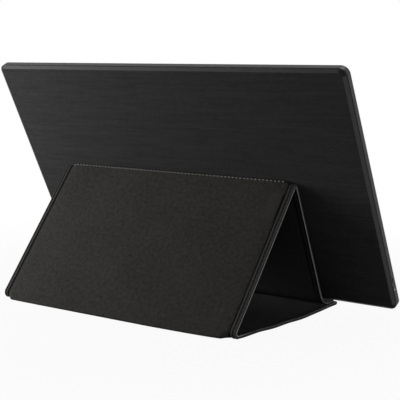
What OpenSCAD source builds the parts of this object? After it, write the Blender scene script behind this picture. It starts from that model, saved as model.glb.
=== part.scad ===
// Portable screen standing in its folded cover. Millimetres.
// X runs along the screen and is right when the picture is seen from the front, Y goes to the back,
// and Z is up. The origin lies on the table, midway between the cover's front edge and its foot.
// Screen pieces are drawn upright, with u up from the lower edge and d deep from the rear face to
// the front, and then leaned back. Cover pieces are drawn along s, from a fold, with n outwards.

/* [Screen housing] */
// Housing beside the picture, on each side
side_border = 19.1; // [17.5:0.1:30]
// Housing above the picture
top_border = 16.6; // [14:0.1:30]
// Housing below the picture
chin = 25.2; // [24.8:0.1:40]
// Thickness of the housing, rear face to front face
screen_t = 8.5; // [8.4:0.1:12]
// Radius of the four corners, seen from the front
corner_r = 7; // [5:0.5:12]
// Width of the bevel around the rear face
rear_bevel_w = 3.2; // [1:0.1:4]
// Depth of the bevel around the rear face
rear_bevel_d = 2; // [0.5:0.1:2.2]
// Bevel around the front face
front_bevel = 0.6; // [0.3:0.1:1]
// Thickness of the rear cover's back
rear_wall = 1.4; // [1:0.1:1.6]
// Thickness of the bezel's side walls
side_wall = 1.6; // [1.2:0.1:2]
// Thickness of the bezel's front
front_lip = 1.2; // [0.8:0.1:1.3]
// Depth of the rear cover's edge
cover_edge = 2.5; // [2.3:0.1:2.8]
// Width of the seam between the rear cover and the bezel
seam = 0.3; // [0.2:0.1:0.5]
// Thickness of the rim that locates the rear cover in the bezel
rim_t = 1; // [0.8:0.1:1.2]
// Reach of that rim into the bezel
rim_reach = 1.2; // [0.8:0.1:1.6]
// Gap around that rim
rim_gap = 0.15; // [0.1:0.05:0.3]

/* [Display panel] */
// Width of the picture
view_w = 344.2; // [300:0.1:400]
// Height of the picture
view_h = 193.6; // [170:0.1:230]
// Gap between the picture and the window's edge
window_gap = 0.5; // [0.3:0.1:1]
// Glass beyond the picture at the sides and the top
cell_border = 3; // [2.8:0.1:4]
// Glass below the picture
cell_tail = 7.4; // [6.5:0.1:8]
// Thickness of the two glass plates together
cell_t = 0.9; // [0.6:0.1:1]
// Thickness of the foam between the glass and the bezel
foam_t = 0.2; // [0.1:0.05:0.3]
// Width of the foam
foam_w = 2; // [1:0.1:2.2]
// Thickness of the prism sheet
prism_t = 0.15; // [0.1:0.05:0.2]
// Thickness of the diffuser sheet
diffuser_t = 0.25; // [0.1:0.05:0.3]
// Thickness of the light guide
guide_t = 1; // [0.8:0.1:1.1]
// Thickness of the reflector sheet
reflector_t = 0.15; // [0.1:0.05:0.2]
// Thickness of the metal tray
tray_t = 0.4; // [0.3:0.05:0.5]
// Gap between the tray's walls and the glass
tray_gap = 0.2; // [0.1:0.05:0.4]
// Number of lamps in the light strip
lamp_count = 44; // [20:1:60]
// Length of the tray's ears
ear_len = 8; // [7:0.5:9]
// Width of the tray's ears
ear_w = 9; // [7:0.5:12]
// Distance of the ears from the glass's lower and upper edges
ear_in = 40; // [30:1:60]

/* [Boards] */
// Thickness of the circuit boards
board_t = 0.8; // [0.6:0.1:0.9]
// Length of the controller board along the lower edge
controller_len = 88; // [80:1:95]
// Height of the controller board's lower arm
controller_h = 12; // [11:0.5:12.5]
// Height of the controller board's upright arm
controller_arm_h = 38; // [36:0.5:42]
// Width of the controller board's upright arm
controller_arm_w = 10; // [9:0.5:11]
// Gap between the controller board and the driver board
board_gap = 20; // [12:1:40]
// Gap between the driver board and the key board
key_board_gap = 17.5; // [10:0.5:40]
// Height of the driver board
driver_h = 9.5; // [8:0.5:10]
// Side of the bridge chip
chip_side = 9; // [7:0.5:9.5]
// Length of the memory chip
memory_len = 11; // [8:0.5:14]
// Height of the chips
chip_t = 0.9; // [0.6:0.1:1.1]
// Wall of the metal can over the bridge chip
can_t = 0.2; // [0.15:0.05:0.3]
// Radius of the board screws
screw_r = 0.7; // [0.5:0.05:0.8]
// Thickness of the flat cables and tapes
tape_t = 0.15; // [0.1:0.05:0.2]
// Width of a tape from the glass to the driver board
tape_w = 32; // [20:1:40]
// Number of those tapes
tape_count = 3; // [2:1:4]

/* [Socket, lamp and keys] */
// Width of the data socket
port_w = 9; // [8:0.1:10]
// Height of the data socket
port_h = 3.3; // [3:0.1:3.4]
// Wall of the data socket
port_wall = 0.3; // [0.2:0.05:0.4]
// Length of the data socket
port_len = 7; // [6:0.5:8]
// Height of the data socket above the lower edge
port_up = 30; // [28:0.5:31]
// Depth of the socket's and the lamp's middle from the rear face
port_d = 4.7; // [4.7:0.1:5.2]
// Clearance around the socket in its slot
port_gap = 0.2; // [0.1:0.05:0.25]
// Radius of the status lamp
lamp_r = 0.9; // [0.6:0.1:1.2]
// Height of the status lamp above the lower edge
lamp_up = 20.3; // [18:0.1:21]
// Radius of a key's cap
key_r = 2.6; // [2:0.1:3]
// Height of a key above the bezel
key_proud = 0.35; // [0.2:0.05:0.6]
// Travel of a key
key_travel = 0.4; // [0.3:0.05:0.5]
// Clearance around a key
key_gap = 0.15; // [0.1:0.05:0.2]
// Height of the keys above the lower edge
key_up = 8; // [7.5:0.1:8.5]
// Distance of the power key from the housing's side edge
key_in = 23.2; // [21.5:0.1:25.5]
// Distance between the two keys
key_pitch = 17; // [14:0.5:19]

/* [Folded cover] */
// Lean of the screen from upright
screen_lean = 26.5; // [24.5:0.5:32]
// Distance from the screen's lower edge up its rear face to the upper fold
apex_up = 127.5; // [110:0.5:140]
// Lean of the cover's rear panel from upright
rear_lean = 23.9; // [20:0.1:24.4]
// Sloping panel, from fold to fold
slope_len = 151; // [140:0.5:170]
// Base panel, from the foot fold to the front edge
base_len = 167.4; // [164:0.1:185]
// Width of the cover
cover_w = 263; // [230:1:300]
// Shift of the cover from the screen's middle
cover_shift = 9.3; // [-20:0.1:20]
// Thickness of a panel, with its fabric
panel_t = 2.6; // [2.2:0.1:3.2]
// Thickness of the fabric on each face
skin_t = 0.5; // [0.3:0.05:0.6]
// Width of the edge binding
binding_w = 4.5; // [3:0.5:6]
// Gap between a fold and the panel that turns on it
fold_gap = 0.3; // [0.2:0.05:0.4]
// Gap between the screen's rear face and the upper fold
rest_gap = 0.5; // [0.3:0.05:0.8]
// Radius of the bend under the screen, at the middle of the panel
ledge_bend_r = 14; // [10:0.5:16]
// How far the ledge flap stays behind the base panel's front edge
ledge_setback = 1; // [0.5:0.1:2]
// Gap between the ledge flap and the base panel
closure_gap = 0.15; // [0.1:0.05:0.3]
// Thickness of the grip strip
grip_t = 1.2; // [0.8:0.1:1.5]
// Width of the grip strip
grip_w = 8; // [6:0.5:9]
// Gap between the grip strip and the screen
grip_gap = 0.2; // [0.1:0.05:0.3]

/* [Magnets and tag] */
// Radius of the magnets
magnet_r = 3.5; // [2.5:0.1:3.8]
// Thickness of the magnets
magnet_t = 1.1; // [0.6:0.1:1.2]
// Distance of the magnets from the base panel's front edge
magnet_in = 7.2; // [5.5:0.1:8.5]
// Number of magnets in each row
magnet_count = 5; // [2:1:7]
// Distance between the outer two magnets
magnet_span = 210; // [150:1:215]
// Width of the bare sewn tag
tag_w = 13; // [8:0.5:20]
// Length of the bare sewn tag
tag_len = 27; // [15:1:40]
// Thickness of the tag
tag_t = 0.4; // [0.3:0.05:0.6]
// Distance of the tag from the cover's edge
tag_in = 7; // [6:0.5:20]
// Distance of the tag from the upper fold
tag_down = 12; // [6:0.5:20]

/* [Hidden] */
$fn = 48;

housing_black = "#2b2b2c";
frame_black = "#3a3a3c";
fabric_black = "#32312f";
leather_black = "#242424";
lining_black = "#151515";
board_green = "#1f4a33";
chip_black = "#1c1c1e";
steel = "#b9bcc0";
film_white = "#e9ecef";

// cutting slack: how far a cut runs past the face that it opens
slack = 1;

// --- the housing around the picture
screen_w = view_w + 2 * side_border;
screen_h = chin + view_h + top_border;
view_up = chin + view_h / 2;

// --- places inside the housing, as depths from the rear face
lip_d = screen_t - front_lip;
cell_front = lip_d - foam_t;
cell_rear = cell_front - cell_t;
prism_rear = cell_rear - prism_t;
diffuser_rear = prism_rear - diffuser_t;
guide_rear = diffuser_rear - guide_t;
reflector_rear = guide_rear - reflector_t;
tray_rear = reflector_rear - tray_t;

// --- the display panel, seen from the front
cell_half = view_w / 2 + cell_border;
cell_low = view_up - view_h / 2 - cell_tail;
cell_top = view_up + view_h / 2 + cell_border;
film_in = 1;
strip_h = 4;
strip_gap = 0.2;
guide_low = cell_low + strip_h + strip_gap;
tray_half = cell_half + tray_gap + tray_t;
tray_low = cell_low - tray_gap - tray_t;
tray_top = cell_top + tray_gap + tray_t;
ear_x = tray_half + ear_len / 2;
ear_up = [cell_low + ear_in, cell_top - ear_in];

// --- boards, screws, socket and keys
board_front = port_d - port_h / 2;
board_rear = board_front - board_t;
rim_in = side_wall + rim_gap + rim_t;
board_room = 0.4;
board_left = -(screen_w / 2 - rim_in - board_room);
board_low = rim_in + 3 * board_room;
boss_r = 2;
screw_gap = 0.05;
screw_in = 2.4;
head_r = 1.4;
head_t = 0.6;
screw_skin = 0.5;
key_x = [screen_w / 2 - key_in - key_pitch, screen_w / 2 - key_in];
flange_t = 0.5;
flange_w = 0.8;
flange_r = key_r + flange_w;
post_room = 0.6;
key_post_in = flange_r + boss_r + post_room;
key_posts = [key_x[0] - key_post_in, key_x[1] + key_post_in];
key_board_in = 7;
key_board_h = 8;
key_board_low = key_up - key_board_h / 2;
driver_x = board_left + controller_len + board_gap;
driver_len = key_posts[0] - key_board_in / 2 - key_board_gap - driver_x;
driver_low = board_low + 3 * board_room;
controller_screws = [[board_left + screw_in, board_low + screw_in],
    [board_left + controller_len - screw_in, board_low + screw_in],
    [board_left + controller_arm_w / 2, board_low + controller_arm_h - screw_in]];
driver_screws = [for (k = [0:2])
    [driver_x + screw_in + k * (driver_len - 2 * screw_in) / 2, driver_low + screw_in]];
tape_in = 37.5;
tape_x = [for (k = [0:tape_count - 1])
    driver_x + tape_in + k * (driver_len - 2 * tape_in) / (tape_count - 1)];
tape_low = driver_low + driver_h / 2;
cable_h = 5;
cable_low = driver_low + screw_in + head_r + board_room;
cable_overlap = 7;
cable_block = 2.5;
cable_block_t = 0.9;

// --- parts on the controller board
chip_in = 36;
chip_x = board_left + chip_in;
chip_low = board_low + (controller_h - chip_side) / 2;
chip_gap = 7;
memory_x = chip_x + chip_side + chip_gap;
cap_w = 1.6;
cap_h = 0.9;
cap_pitch = 1.7;
cap_gap = 2;
cap_x = memory_x + memory_len + cap_gap;
coil_side = 4;
coil_t = 1.8;
coil_pitch = 7;
coil_gap = 5;
coil_x = board_left + controller_arm_w + coil_gap;
lamp_chip_len = 2.4;

// --- keys
key_rear = lip_d - flange_t - screw_gap;
switch_side = 4;
switch_t = 1.3;
switch_front = key_rear - key_travel - screw_gap;
key_board_front = switch_front - switch_t;

// --- the folded cover, seen from the side with y to the back and z up
half_t = panel_t / 2;
core_t = half_t - skin_t;
fold_r = half_t;
ledge_z = panel_t + closure_gap + half_t;
screen_z = ledge_z + half_t + grip_t + grip_gap - rear_bevel_d * sin(screen_lean);
apex_out = rest_gap + fold_r;
apex_y = apex_up * sin(screen_lean) + apex_out * cos(screen_lean);
apex_z = screen_z + apex_up * cos(screen_lean) - apex_out * sin(screen_lean);
foot_y = apex_y + sqrt(pow(slope_len, 2) - pow(apex_z - fold_r, 2));
slope_turn = atan2(apex_z - fold_r, foot_y - apex_y);
front_y = foot_y - base_len;
origin_y = -(foot_y + fold_r + front_y) / 2;
panel_setback = half_t / tan(slope_turn / 2) + 2 * fold_gap;
skin_setback = sqrt(pow(fold_r + fold_gap, 2) - pow(core_t, 2));

// --- the rear panel's path: along the ledge flap, round the bend, and up to the upper fold
bend_turn = 90 - rear_lean;
corner_y = apex_y - (apex_z - ledge_z) * tan(rear_lean);
bend_reach = ledge_bend_r * tan(bend_turn / 2);
ledge_y = front_y + ledge_setback;
ledge_len = corner_y - bend_reach - ledge_y;
bend_len = ledge_bend_r * bend_turn * PI / 180;
rise_len = norm([apex_y - corner_y, apex_z - ledge_z]) - bend_reach;
rear_len = ledge_len + bend_len + rise_len;
bend_steps = 10;

// --- across the cover
cover_left = cover_shift - cover_w / 2;
cover_right = cover_shift + cover_w / 2;
magnet_y = front_y + magnet_in;
magnet_x = [for (k = [0:magnet_count - 1])
    cover_shift - magnet_span / 2 + k * magnet_span / (magnet_count - 1)];
magnet_gap = 0.05;

// ---------- shared shapes of the screen ----------

// Stands the upright screen on the grip strip and leans it back.
module on_screen() {
    translate([0, origin_y, screen_z]) rotate([-screen_lean, 0, 0]) children();
}

// Block between two places across, deep and up.
module block(x0, x1, d0, d1, u0, u1) {
    translate([x0, -d1, u0]) cube([x1 - x0, d1 - d0, u1 - u0]);
}

// Round post along the depth.
module post(x, u, d0, d1, r) {
    translate([x, -d1, u]) rotate([-90, 0, 0]) cylinder(h = d1 - d0, r = r);
}

module round_rect(w, h, r) {
    square([w - 2 * r, h], center = true);
    square([w, h - 2 * r], center = true);
    for (sx = [-1, 1], sy = [-1, 1]) translate([sx * (w / 2 - r), sy * (h / 2 - r)]) circle(r);
}

// Round-cornered plate of the housing's outline, drawn in by an inset.
module plate(inset, d0, d1) {
    translate([0, -d0, screen_h / 2]) rotate([90, 0, 0]) linear_extrude(d1 - d0)
        round_rect(screen_w - 2 * inset, screen_h - 2 * inset, corner_r - inset);
}

// Round-cornered plate whose face at z = 0 has a bevel of width bw and depth bd.
module beveled_plate(thick, bw, bd) {
    w = screen_w;
    h = screen_h;
    r = corner_r;
    profile = function (size) [[-size / 2 + bw, 0], [size / 2 - bw, 0], [size / 2, bd],
        [size / 2, thick], [-size / 2, thick], [-size / 2, bd]];
    rotate([90, 0, 0]) linear_extrude(h - 2 * r, center = true) polygon(profile(w));
    rotate([90, 0, 90]) linear_extrude(w - 2 * r, center = true) polygon(profile(h));
    for (sx = [-1, 1], sy = [-1, 1]) translate([sx * (w / 2 - r), sy * (h / 2 - r), 0]) {
        cylinder(h = bd, r1 = r - bw, r2 = r);
        translate([0, 0, bd]) cylinder(h = thick - bd, r = r);
    }
}

// Outline of the data socket, extruded across from x0 to x1 and grown by a margin.
module socket_bar(x0, x1, grow) {
    translate([x0, -port_d, port_up]) rotate([90, 0, 90]) linear_extrude(x1 - x0)
        round_rect(port_h + 2 * grow, port_w + 2 * grow, port_h / 2 + grow - 0.1);
}

// Screw with its head on a face at depth d, its shank going to deeper or shallower.
module screw(x, u, d, length, inward = 1) {
    low = inward > 0 ? d - length : d;
    post(x, u, low, low + length, screw_r);
    head = inward > 0 ? d : d - head_t;
    post(x, u, head, head + head_t, head_r);
}

// ---------- housing ----------

module rear_cover() {
    color(housing_black) on_screen() difference() {
        union() {
            difference() {
                translate([0, 0, screen_h / 2]) rotate([90, 0, 0])
                    beveled_plate(cover_edge, rear_bevel_w, rear_bevel_d);
                plate(rim_in, rear_wall, cover_edge + slack);
            }
            difference() {
                plate(side_wall + rim_gap, rear_wall, cover_edge + seam + rim_reach);
                plate(rim_in, rear_wall - slack, screen_t);
            }
            for (p = concat(controller_screws, driver_screws))
                post(p[0], p[1], rear_wall, board_rear, boss_r);
        }
        for (p = concat(controller_screws, driver_screws))
            post(p[0], p[1], screw_skin, board_rear + slack, screw_r + screw_gap);
        block(-screen_w / 2 - slack, board_left + slack, cover_edge, screen_t,
            lamp_up - lamp_r - slack, port_up + port_w / 2 + slack);
    }
}

module front_bezel() {
    window_w = view_w + 2 * window_gap;
    window_h = view_h + 2 * window_gap;
    color(frame_black) on_screen() difference() {
        union() {
            difference() {
                translate([0, -screen_t, screen_h / 2]) mirror([0, 1, 0]) rotate([90, 0, 0])
                    beveled_plate(screen_t - cover_edge - seam, front_bevel, front_bevel);
                plate(side_wall, 0, lip_d);
            }
            for (s = [-1, 1], u = ear_up) post(s * ear_x, u, tray_rear + tray_t, lip_d, boss_r);
            for (x = key_posts) post(x, key_up, key_board_front, lip_d, boss_r);
        }
        block(-window_w / 2, window_w / 2, lip_d - slack, screen_t + slack,
            view_up - window_h / 2, view_up + window_h / 2);
        for (s = [-1, 1], u = ear_up)
            post(s * ear_x, u, tray_rear, lip_d + screw_skin, screw_r + screw_gap);
        for (x = key_posts)
            post(x, key_up, key_board_front - slack, lip_d + screw_skin, screw_r + screw_gap);
        for (x = key_x) post(x, key_up, lip_d - slack, screen_t + slack, key_r + key_gap);
        socket_bar(-screen_w / 2 - slack, -screen_w / 2 + side_wall + slack, port_gap);
        translate([-screen_w / 2 - slack, -port_d, lamp_up]) rotate([0, 90, 0])
            cylinder(h = side_wall + 2 * slack, r = lamp_r + screw_gap);
    }
}

// ---------- display panel ----------

module foam_gasket() {
    inner = window_gap + 0.4;
    outer = inner + foam_w;
    color(chip_black) on_screen() difference() {
        block(-view_w / 2 - outer, view_w / 2 + outer, cell_front, lip_d,
            view_up - view_h / 2 - outer, view_up + view_h / 2 + outer);
        block(-view_w / 2 - inner, view_w / 2 + inner, cell_front - slack, lip_d + slack,
            view_up - view_h / 2 - inner, view_up + view_h / 2 + inner);
    }
}

module lcd_cell() {
    color("#0d0f14") on_screen()
        block(-cell_half, cell_half, cell_rear, cell_front, cell_low, cell_top);
}

module film(d0, d1) {
    color(film_white) on_screen()
        block(-cell_half + film_in, cell_half - film_in, d0, d1, guide_low, cell_top - film_in);
}

module prism_sheet() { film(prism_rear, cell_rear); }
module diffuser_sheet() { film(diffuser_rear, prism_rear); }
module light_guide() { film(guide_rear, diffuser_rear); }
module reflector_sheet() { film(reflector_rear, guide_rear); }

module light_strip() {
    left = -cell_half + film_in;
    pitch = (2 * cell_half - 2 * film_in) / lamp_count;
    lamp_w = 3.4;
    lamp_h = 1.2;
    lamp_t = guide_t * 0.8;
    color("#f2e6b0") on_screen() {
        block(left, -left, reflector_rear, guide_rear, cell_low, cell_low + strip_h);
        for (k = [0:lamp_count - 1]) {
            x = left + (k + 0.5) * pitch;
            block(x - lamp_w / 2, x + lamp_w / 2, guide_rear, guide_rear + lamp_t,
                cell_low + strip_h - lamp_h, cell_low + strip_h);
        }
    }
}

module panel_tray() {
    wall_front = cell_front - 0.1;
    notch = tape_w / 2 + 0.5;
    color(steel) on_screen() difference() {
        union() {
            block(-tray_half, tray_half, tray_rear, wall_front, tray_low, tray_top);
            for (u = ear_up) block(-tray_half - ear_len, tray_half + ear_len,
                tray_rear, tray_rear + tray_t, u - ear_w / 2, u + ear_w / 2);
        }
        block(-tray_half + tray_t, tray_half - tray_t, reflector_rear, cell_front + slack,
            tray_low + tray_t, tray_top - tray_t);
        for (x = tape_x) block(x - notch, x + notch, cell_rear, cell_front + slack,
            tray_low - slack, tray_low + 2 * tray_t);
        for (s = [-1, 1], u = ear_up)
            post(s * ear_x, u, tray_rear - slack, tray_rear + 2 * tray_t, screw_r + screw_gap);
    }
}

module tray_screws() {
    color(steel) on_screen() for (s = [-1, 1], u = ear_up)
        screw(s * ear_x, u, tray_rear, lip_d - tray_rear, inward = -1);
}

module glass_tapes() {
    d1 = cell_rear + 0.4;
    color("#8a5a2b") on_screen() for (x = tape_x) {
        block(x - tape_w / 2, x + tape_w / 2, d1 - tape_t, d1, tape_low, cell_low);
        block(x - tape_w / 2, x + tape_w / 2, board_front, d1, tape_low, tape_low + tape_t);
    }
}

// ---------- boards ----------

module driver_board() {
    color(board_green) on_screen() difference() {
        block(driver_x, driver_x + driver_len, board_rear, board_front,
            driver_low, driver_low + driver_h);
        for (p = driver_screws)
            post(p[0], p[1], board_rear - slack, board_front + slack, screw_r + screw_gap);
    }
}

module display_cable() {
    x0 = board_left + controller_len - cable_overlap;
    x1 = driver_x + cable_overlap;
    color("#d8cba8") on_screen() {
        block(x0, x1, board_front, board_front + tape_t, cable_low, cable_low + cable_h);
        for (x = [x0, x1 - cable_block]) block(x, x + cable_block, board_front + tape_t,
            board_front + cable_block_t, cable_low, cable_low + cable_h);
    }
}

module controller_board() {
    color(board_green) on_screen() difference() {
        union() {
            block(board_left, board_left + controller_len, board_rear, board_front,
                board_low, board_low + controller_h);
            block(board_left, board_left + controller_arm_w, board_rear, board_front,
                board_low, board_low + controller_arm_h);
        }
        for (p = controller_screws)
            post(p[0], p[1], board_rear - slack, board_front + slack, screw_r + screw_gap);
    }
}

module bridge_chip() {
    color(chip_black) on_screen() block(chip_x, chip_x + chip_side, board_front,
        board_front + chip_t, chip_low, chip_low + chip_side);
}

module chip_shield() {
    room = 0.6;
    grow = room + can_t;
    front = board_front + chip_t + room;
    color(steel) on_screen() difference() {
        block(chip_x - grow, chip_x + chip_side + grow, board_front, front + can_t,
            chip_low - grow, chip_low + chip_side + grow);
        block(chip_x - room, chip_x + chip_side + room, board_front - slack, front,
            chip_low - room, chip_low + chip_side + room);
    }
}

module memory_chip() {
    color(chip_black) on_screen() block(memory_x, memory_x + memory_len, board_front,
        board_front + chip_t, chip_low, chip_low + chip_side);
}

// Coils, capacitors and the small lamp chip behind the status lamp.
module board_parts() {
    coil_low = board_low + (controller_h - coil_side) / 2;
    cap_low = board_low + (controller_h - 5 * cap_pitch - cap_h) / 2;
    row_low = board_low + controller_h - cap_w - board_room;
    color("#6b6157") on_screen() {
        for (x = [coil_x, coil_x + coil_pitch]) block(x, x + coil_side,
            board_front, board_front + coil_t, coil_low, coil_low + coil_side);
        for (k = [0:5]) {
            u = cap_low + k * cap_pitch;
            block(cap_x, cap_x + cap_w, board_front, board_front + cap_h, u, u + cap_h);
        }
        for (k = [0:4]) {
            x = board_left + cap_h + k * cap_pitch;
            block(x, x + cap_h, board_front, board_front + cap_h, row_low, row_low + cap_w);
        }
        block(board_left, board_left + lamp_chip_len, board_front, port_d + lamp_r,
            lamp_up - lamp_r, lamp_up + lamp_r);
    }
}

module board_screws() {
    length = board_t + board_rear - screw_skin - 0.2;
    color(steel) on_screen() {
        for (p = concat(controller_screws, driver_screws))
            screw(p[0], p[1], board_front, length);
        for (x = key_posts) screw(x, key_up, key_board_front - board_t,
            lip_d - key_board_front + board_t, inward = -1);
    }
}

// ---------- socket, lamp and keys ----------

module usb_socket() {
    mouth = -screen_w / 2 + 0.2;
    tongue_t = 0.7;
    tongue_in = 0.9;
    color(steel) on_screen() {
        difference() {
            socket_bar(mouth, mouth + port_len, 0);
            socket_bar(mouth - slack, mouth + port_len - port_wall, -port_wall);
        }
        block(mouth + tongue_in, mouth + port_len, port_d - tongue_t / 2, port_d + tongue_t / 2,
            port_up - port_w / 2 + 3 * port_wall, port_up + port_w / 2 - 3 * port_wall);
    }
}

module status_lamp() {
    color("#dfe3e6") on_screen() translate([-screen_w / 2, -port_d, lamp_up]) rotate([0, 90, 0])
        cylinder(h = screen_w / 2 + board_left, r = lamp_r);
}

module key_board() {
    color(board_green) on_screen() difference() {
        block(key_posts[0] - key_board_in / 2, key_posts[1] + key_board_in / 2,
            key_board_front - board_t, key_board_front, key_board_low, key_board_low + key_board_h);
        for (x = key_posts) post(x, key_up, 0, screen_t, screw_r + screw_gap);
    }
}

module key_switches() {
    color(chip_black) on_screen() for (x = key_x) {
        block(x - switch_side / 2, x + switch_side / 2, key_board_front, switch_front - 0.3,
            key_up - switch_side / 2, key_up + switch_side / 2);
        post(x, key_up, switch_front - 0.3, switch_front, switch_side / 4);
    }
}

// Flat cable from the key board down to the driver board.
module key_cable() {
    x0 = driver_x + driver_len - cable_overlap;
    x1 = key_posts[0] - key_board_in / 2;
    rear = key_board_front - board_t - tape_t;
    top = cable_low + cable_h / 2;
    pad = 1.5;
    color("#d8cba8") on_screen() {
        block(x0, x1, board_front, board_front + tape_t, cable_low, top);
        block(x1 - tape_t, x1, board_front, rear + tape_t, cable_low, top);
        block(x1 - tape_t, x1 + pad, rear, rear + tape_t, cable_low, top);
    }
}

module key(x) {
    color("#454547") on_screen() {
        post(x, key_up, key_rear, key_rear + flange_t, flange_r);
        post(x, key_up, key_rear, screen_t + key_proud, key_r);
    }
}

module power_key() { key(key_x[1]); }
module menu_key() { key(key_x[0]); }

// ---------- shared shapes of the cover ----------

// Puts children, drawn along s = y with n = z outwards, at a fold and turns them by an angle.
module along(y, z, turn) {
    translate([0, y + origin_y, z]) rotate([turn, 0, 0]) children();
}
module on_slope() { along(apex_y, apex_z, -slope_turn) children(); }
module on_base() { along(foot_y, fold_r, 180) children(); }

module sheet(x0, x1, s0, s1, n0, n1) {
    translate([x0, s0, n0]) cube([x1 - x0, s1 - s0, n1 - n0]);
}

// A point of the rear panel at path length s and offset n.
function rear_point(s, n) =
    s <= ledge_len ? [ledge_y + s, ledge_z + n]
    : s <= ledge_len + bend_len ?
        let (turn = (s - ledge_len) / ledge_bend_r * 180 / PI)
        [ledge_y + ledge_len + (ledge_bend_r - n) * sin(turn),
            ledge_z + ledge_bend_r - (ledge_bend_r - n) * cos(turn)]
    : let (left = rear_len - s)
        [apex_y - left * cos(bend_turn) - n * sin(bend_turn),
            apex_z - left * sin(bend_turn) + n * cos(bend_turn)];

// Layer of the rear panel between two offsets, from path length s0 to s1.
module rear_layer(x0, x1, s0, s1, n0, n1) {
    bend = [for (k = [0:bend_steps]) ledge_len + bend_len * k / bend_steps];
    path = concat([s0], [for (s = bend) if (s > s0 && s < s1) s], [s1]);
    last = len(path) - 1;
    outline = concat([for (s = path) rear_point(s, n0)],
        [for (k = [0:last]) rear_point(path[last - k], n1)]);
    translate([x0, origin_y, 0]) rotate([90, 0, 90]) linear_extrude(x1 - x0) polygon(outline);
}

// Binding folded over both side edges of a straight panel.
module side_binding(s0, s1) {
    for (edge = [[cover_left, 1], [cover_right, -1]]) {
        far = edge[0] + edge[1] * binding_w;
        wrap = edge[0] + edge[1] * skin_t;
        for (face = [-1, 1]) {
            n = face * (half_t - skin_t / 2);
            sheet(min(edge[0], far), max(edge[0], far), s0, s1, n - skin_t / 2, n + skin_t / 2);
        }
        sheet(min(edge[0], wrap), max(edge[0], wrap), s0, s1, -core_t, core_t);
    }
}

module magnet_row(y, z, turn, grow) {
    along(y, z, turn) for (x = magnet_x)
        translate([x, 0, -core_t - grow]) cylinder(h = magnet_t + grow, r = magnet_r + grow);
}

// ---------- rear panel and ledge flap ----------

skin_left = cover_left + binding_w;
skin_right = cover_right - binding_w;
core_left = cover_left + skin_t;
core_right = cover_right - skin_t;

module rear_outer_fabric() {
    color(fabric_black)
        rear_layer(skin_left, skin_right, binding_w, rear_len - skin_setback, core_t, half_t);
}

module rear_stiffener() {
    color("#4a4a48") difference() {
        rear_layer(core_left, core_right, skin_t, rear_len - panel_setback, -core_t, core_t);
        magnet_row(magnet_y, ledge_z, 0, magnet_gap);
    }
}

module rear_lining() {
    color(lining_black)
        rear_layer(skin_left, skin_right, binding_w, rear_len - panel_setback, -half_t, -core_t);
}

module rear_binding() {
    end = rear_len - panel_setback;
    color(leather_black) {
        for (edge = [[cover_left, 1], [cover_right, -1]]) {
            far = edge[0] + edge[1] * binding_w;
            wrap = edge[0] + edge[1] * skin_t;
            rear_layer(min(edge[0], far), max(edge[0], far), 0, end, core_t, half_t);
            rear_layer(min(edge[0], far), max(edge[0], far), 0, end, -half_t, -core_t);
            rear_layer(min(edge[0], wrap), max(edge[0], wrap), 0, end, -core_t, core_t);
        }
        rear_layer(skin_left, skin_right, 0, binding_w, core_t, half_t);
        rear_layer(skin_left, skin_right, 0, binding_w, -half_t, -core_t);
        rear_layer(core_left, core_right, 0, skin_t, -core_t, core_t);
    }
}

module grip_strip() {
    end = ledge_len;
    color("#1a1a1a") rear_layer(skin_left + binding_w, skin_right - binding_w,
        end - grip_w, end, half_t, half_t + grip_t);
}

module ledge_magnets() {
    color(steel) magnet_row(magnet_y, ledge_z, 0, 0);
}

// ---------- sloping panel ----------

// Rounded fold with the strip of fabric that joins it to the sloping panel.
module fold_edge(at, s0, s1) {
    union() {
        translate([cover_left, at, 0]) rotate([0, 90, 0]) cylinder(h = cover_w, r = fold_r);
        sheet(cover_left, cover_right, s0, s1, core_t, half_t);
    }
}

module apex_fold() { color(fabric_black) on_slope() fold_edge(0, 0, panel_setback); }
module foot_fold() {
    color(fabric_black) on_slope() fold_edge(slope_len, slope_len - panel_setback, slope_len);
}

module slope_outer_fabric() {
    color(fabric_black) on_slope() sheet(skin_left, skin_right, panel_setback,
        slope_len - panel_setback, core_t, half_t);
}

module slope_stiffener() {
    color("#4a4a48") on_slope() sheet(core_left, core_right, panel_setback,
        slope_len - panel_setback, -core_t, core_t);
}

module slope_lining() {
    color(lining_black) on_slope() sheet(skin_left, skin_right, panel_setback,
        slope_len - panel_setback, -half_t, -core_t);
}

module slope_binding() {
    color(leather_black) on_slope() side_binding(panel_setback, slope_len - panel_setback);
}

module sewn_tag() {
    x0 = cover_left + tag_in;
    color("#1e1e1e") on_slope()
        sheet(x0, x0 + tag_w, tag_down, tag_down + tag_len, half_t, half_t + tag_t);
}

// ---------- base panel ----------

module base_outer_fabric() {
    color(fabric_black) on_base()
        sheet(skin_left, skin_right, skin_setback, base_len - binding_w, core_t, half_t);
}

module base_stiffener() {
    color("#4a4a48") difference() {
        on_base() sheet(core_left, core_right, panel_setback, base_len - skin_t, -core_t, core_t);
        magnet_row(magnet_y, fold_r, 180, magnet_gap);
    }
}

module base_lining() {
    color(lining_black) on_base()
        sheet(skin_left, skin_right, panel_setback, base_len - binding_w, -half_t, -core_t);
}

module base_binding() {
    color(leather_black) on_base() {
        side_binding(panel_setback, base_len);
        for (face = [-1, 1]) {
            n = face * (half_t - skin_t / 2);
            sheet(skin_left, skin_right, base_len - binding_w, base_len,
                n - skin_t / 2, n + skin_t / 2);
        }
        sheet(core_left, core_right, base_len - skin_t, base_len, -core_t, core_t);
    }
}

module base_magnets() {
    color(steel) magnet_row(magnet_y, fold_r, 180, 0);
}

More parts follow.
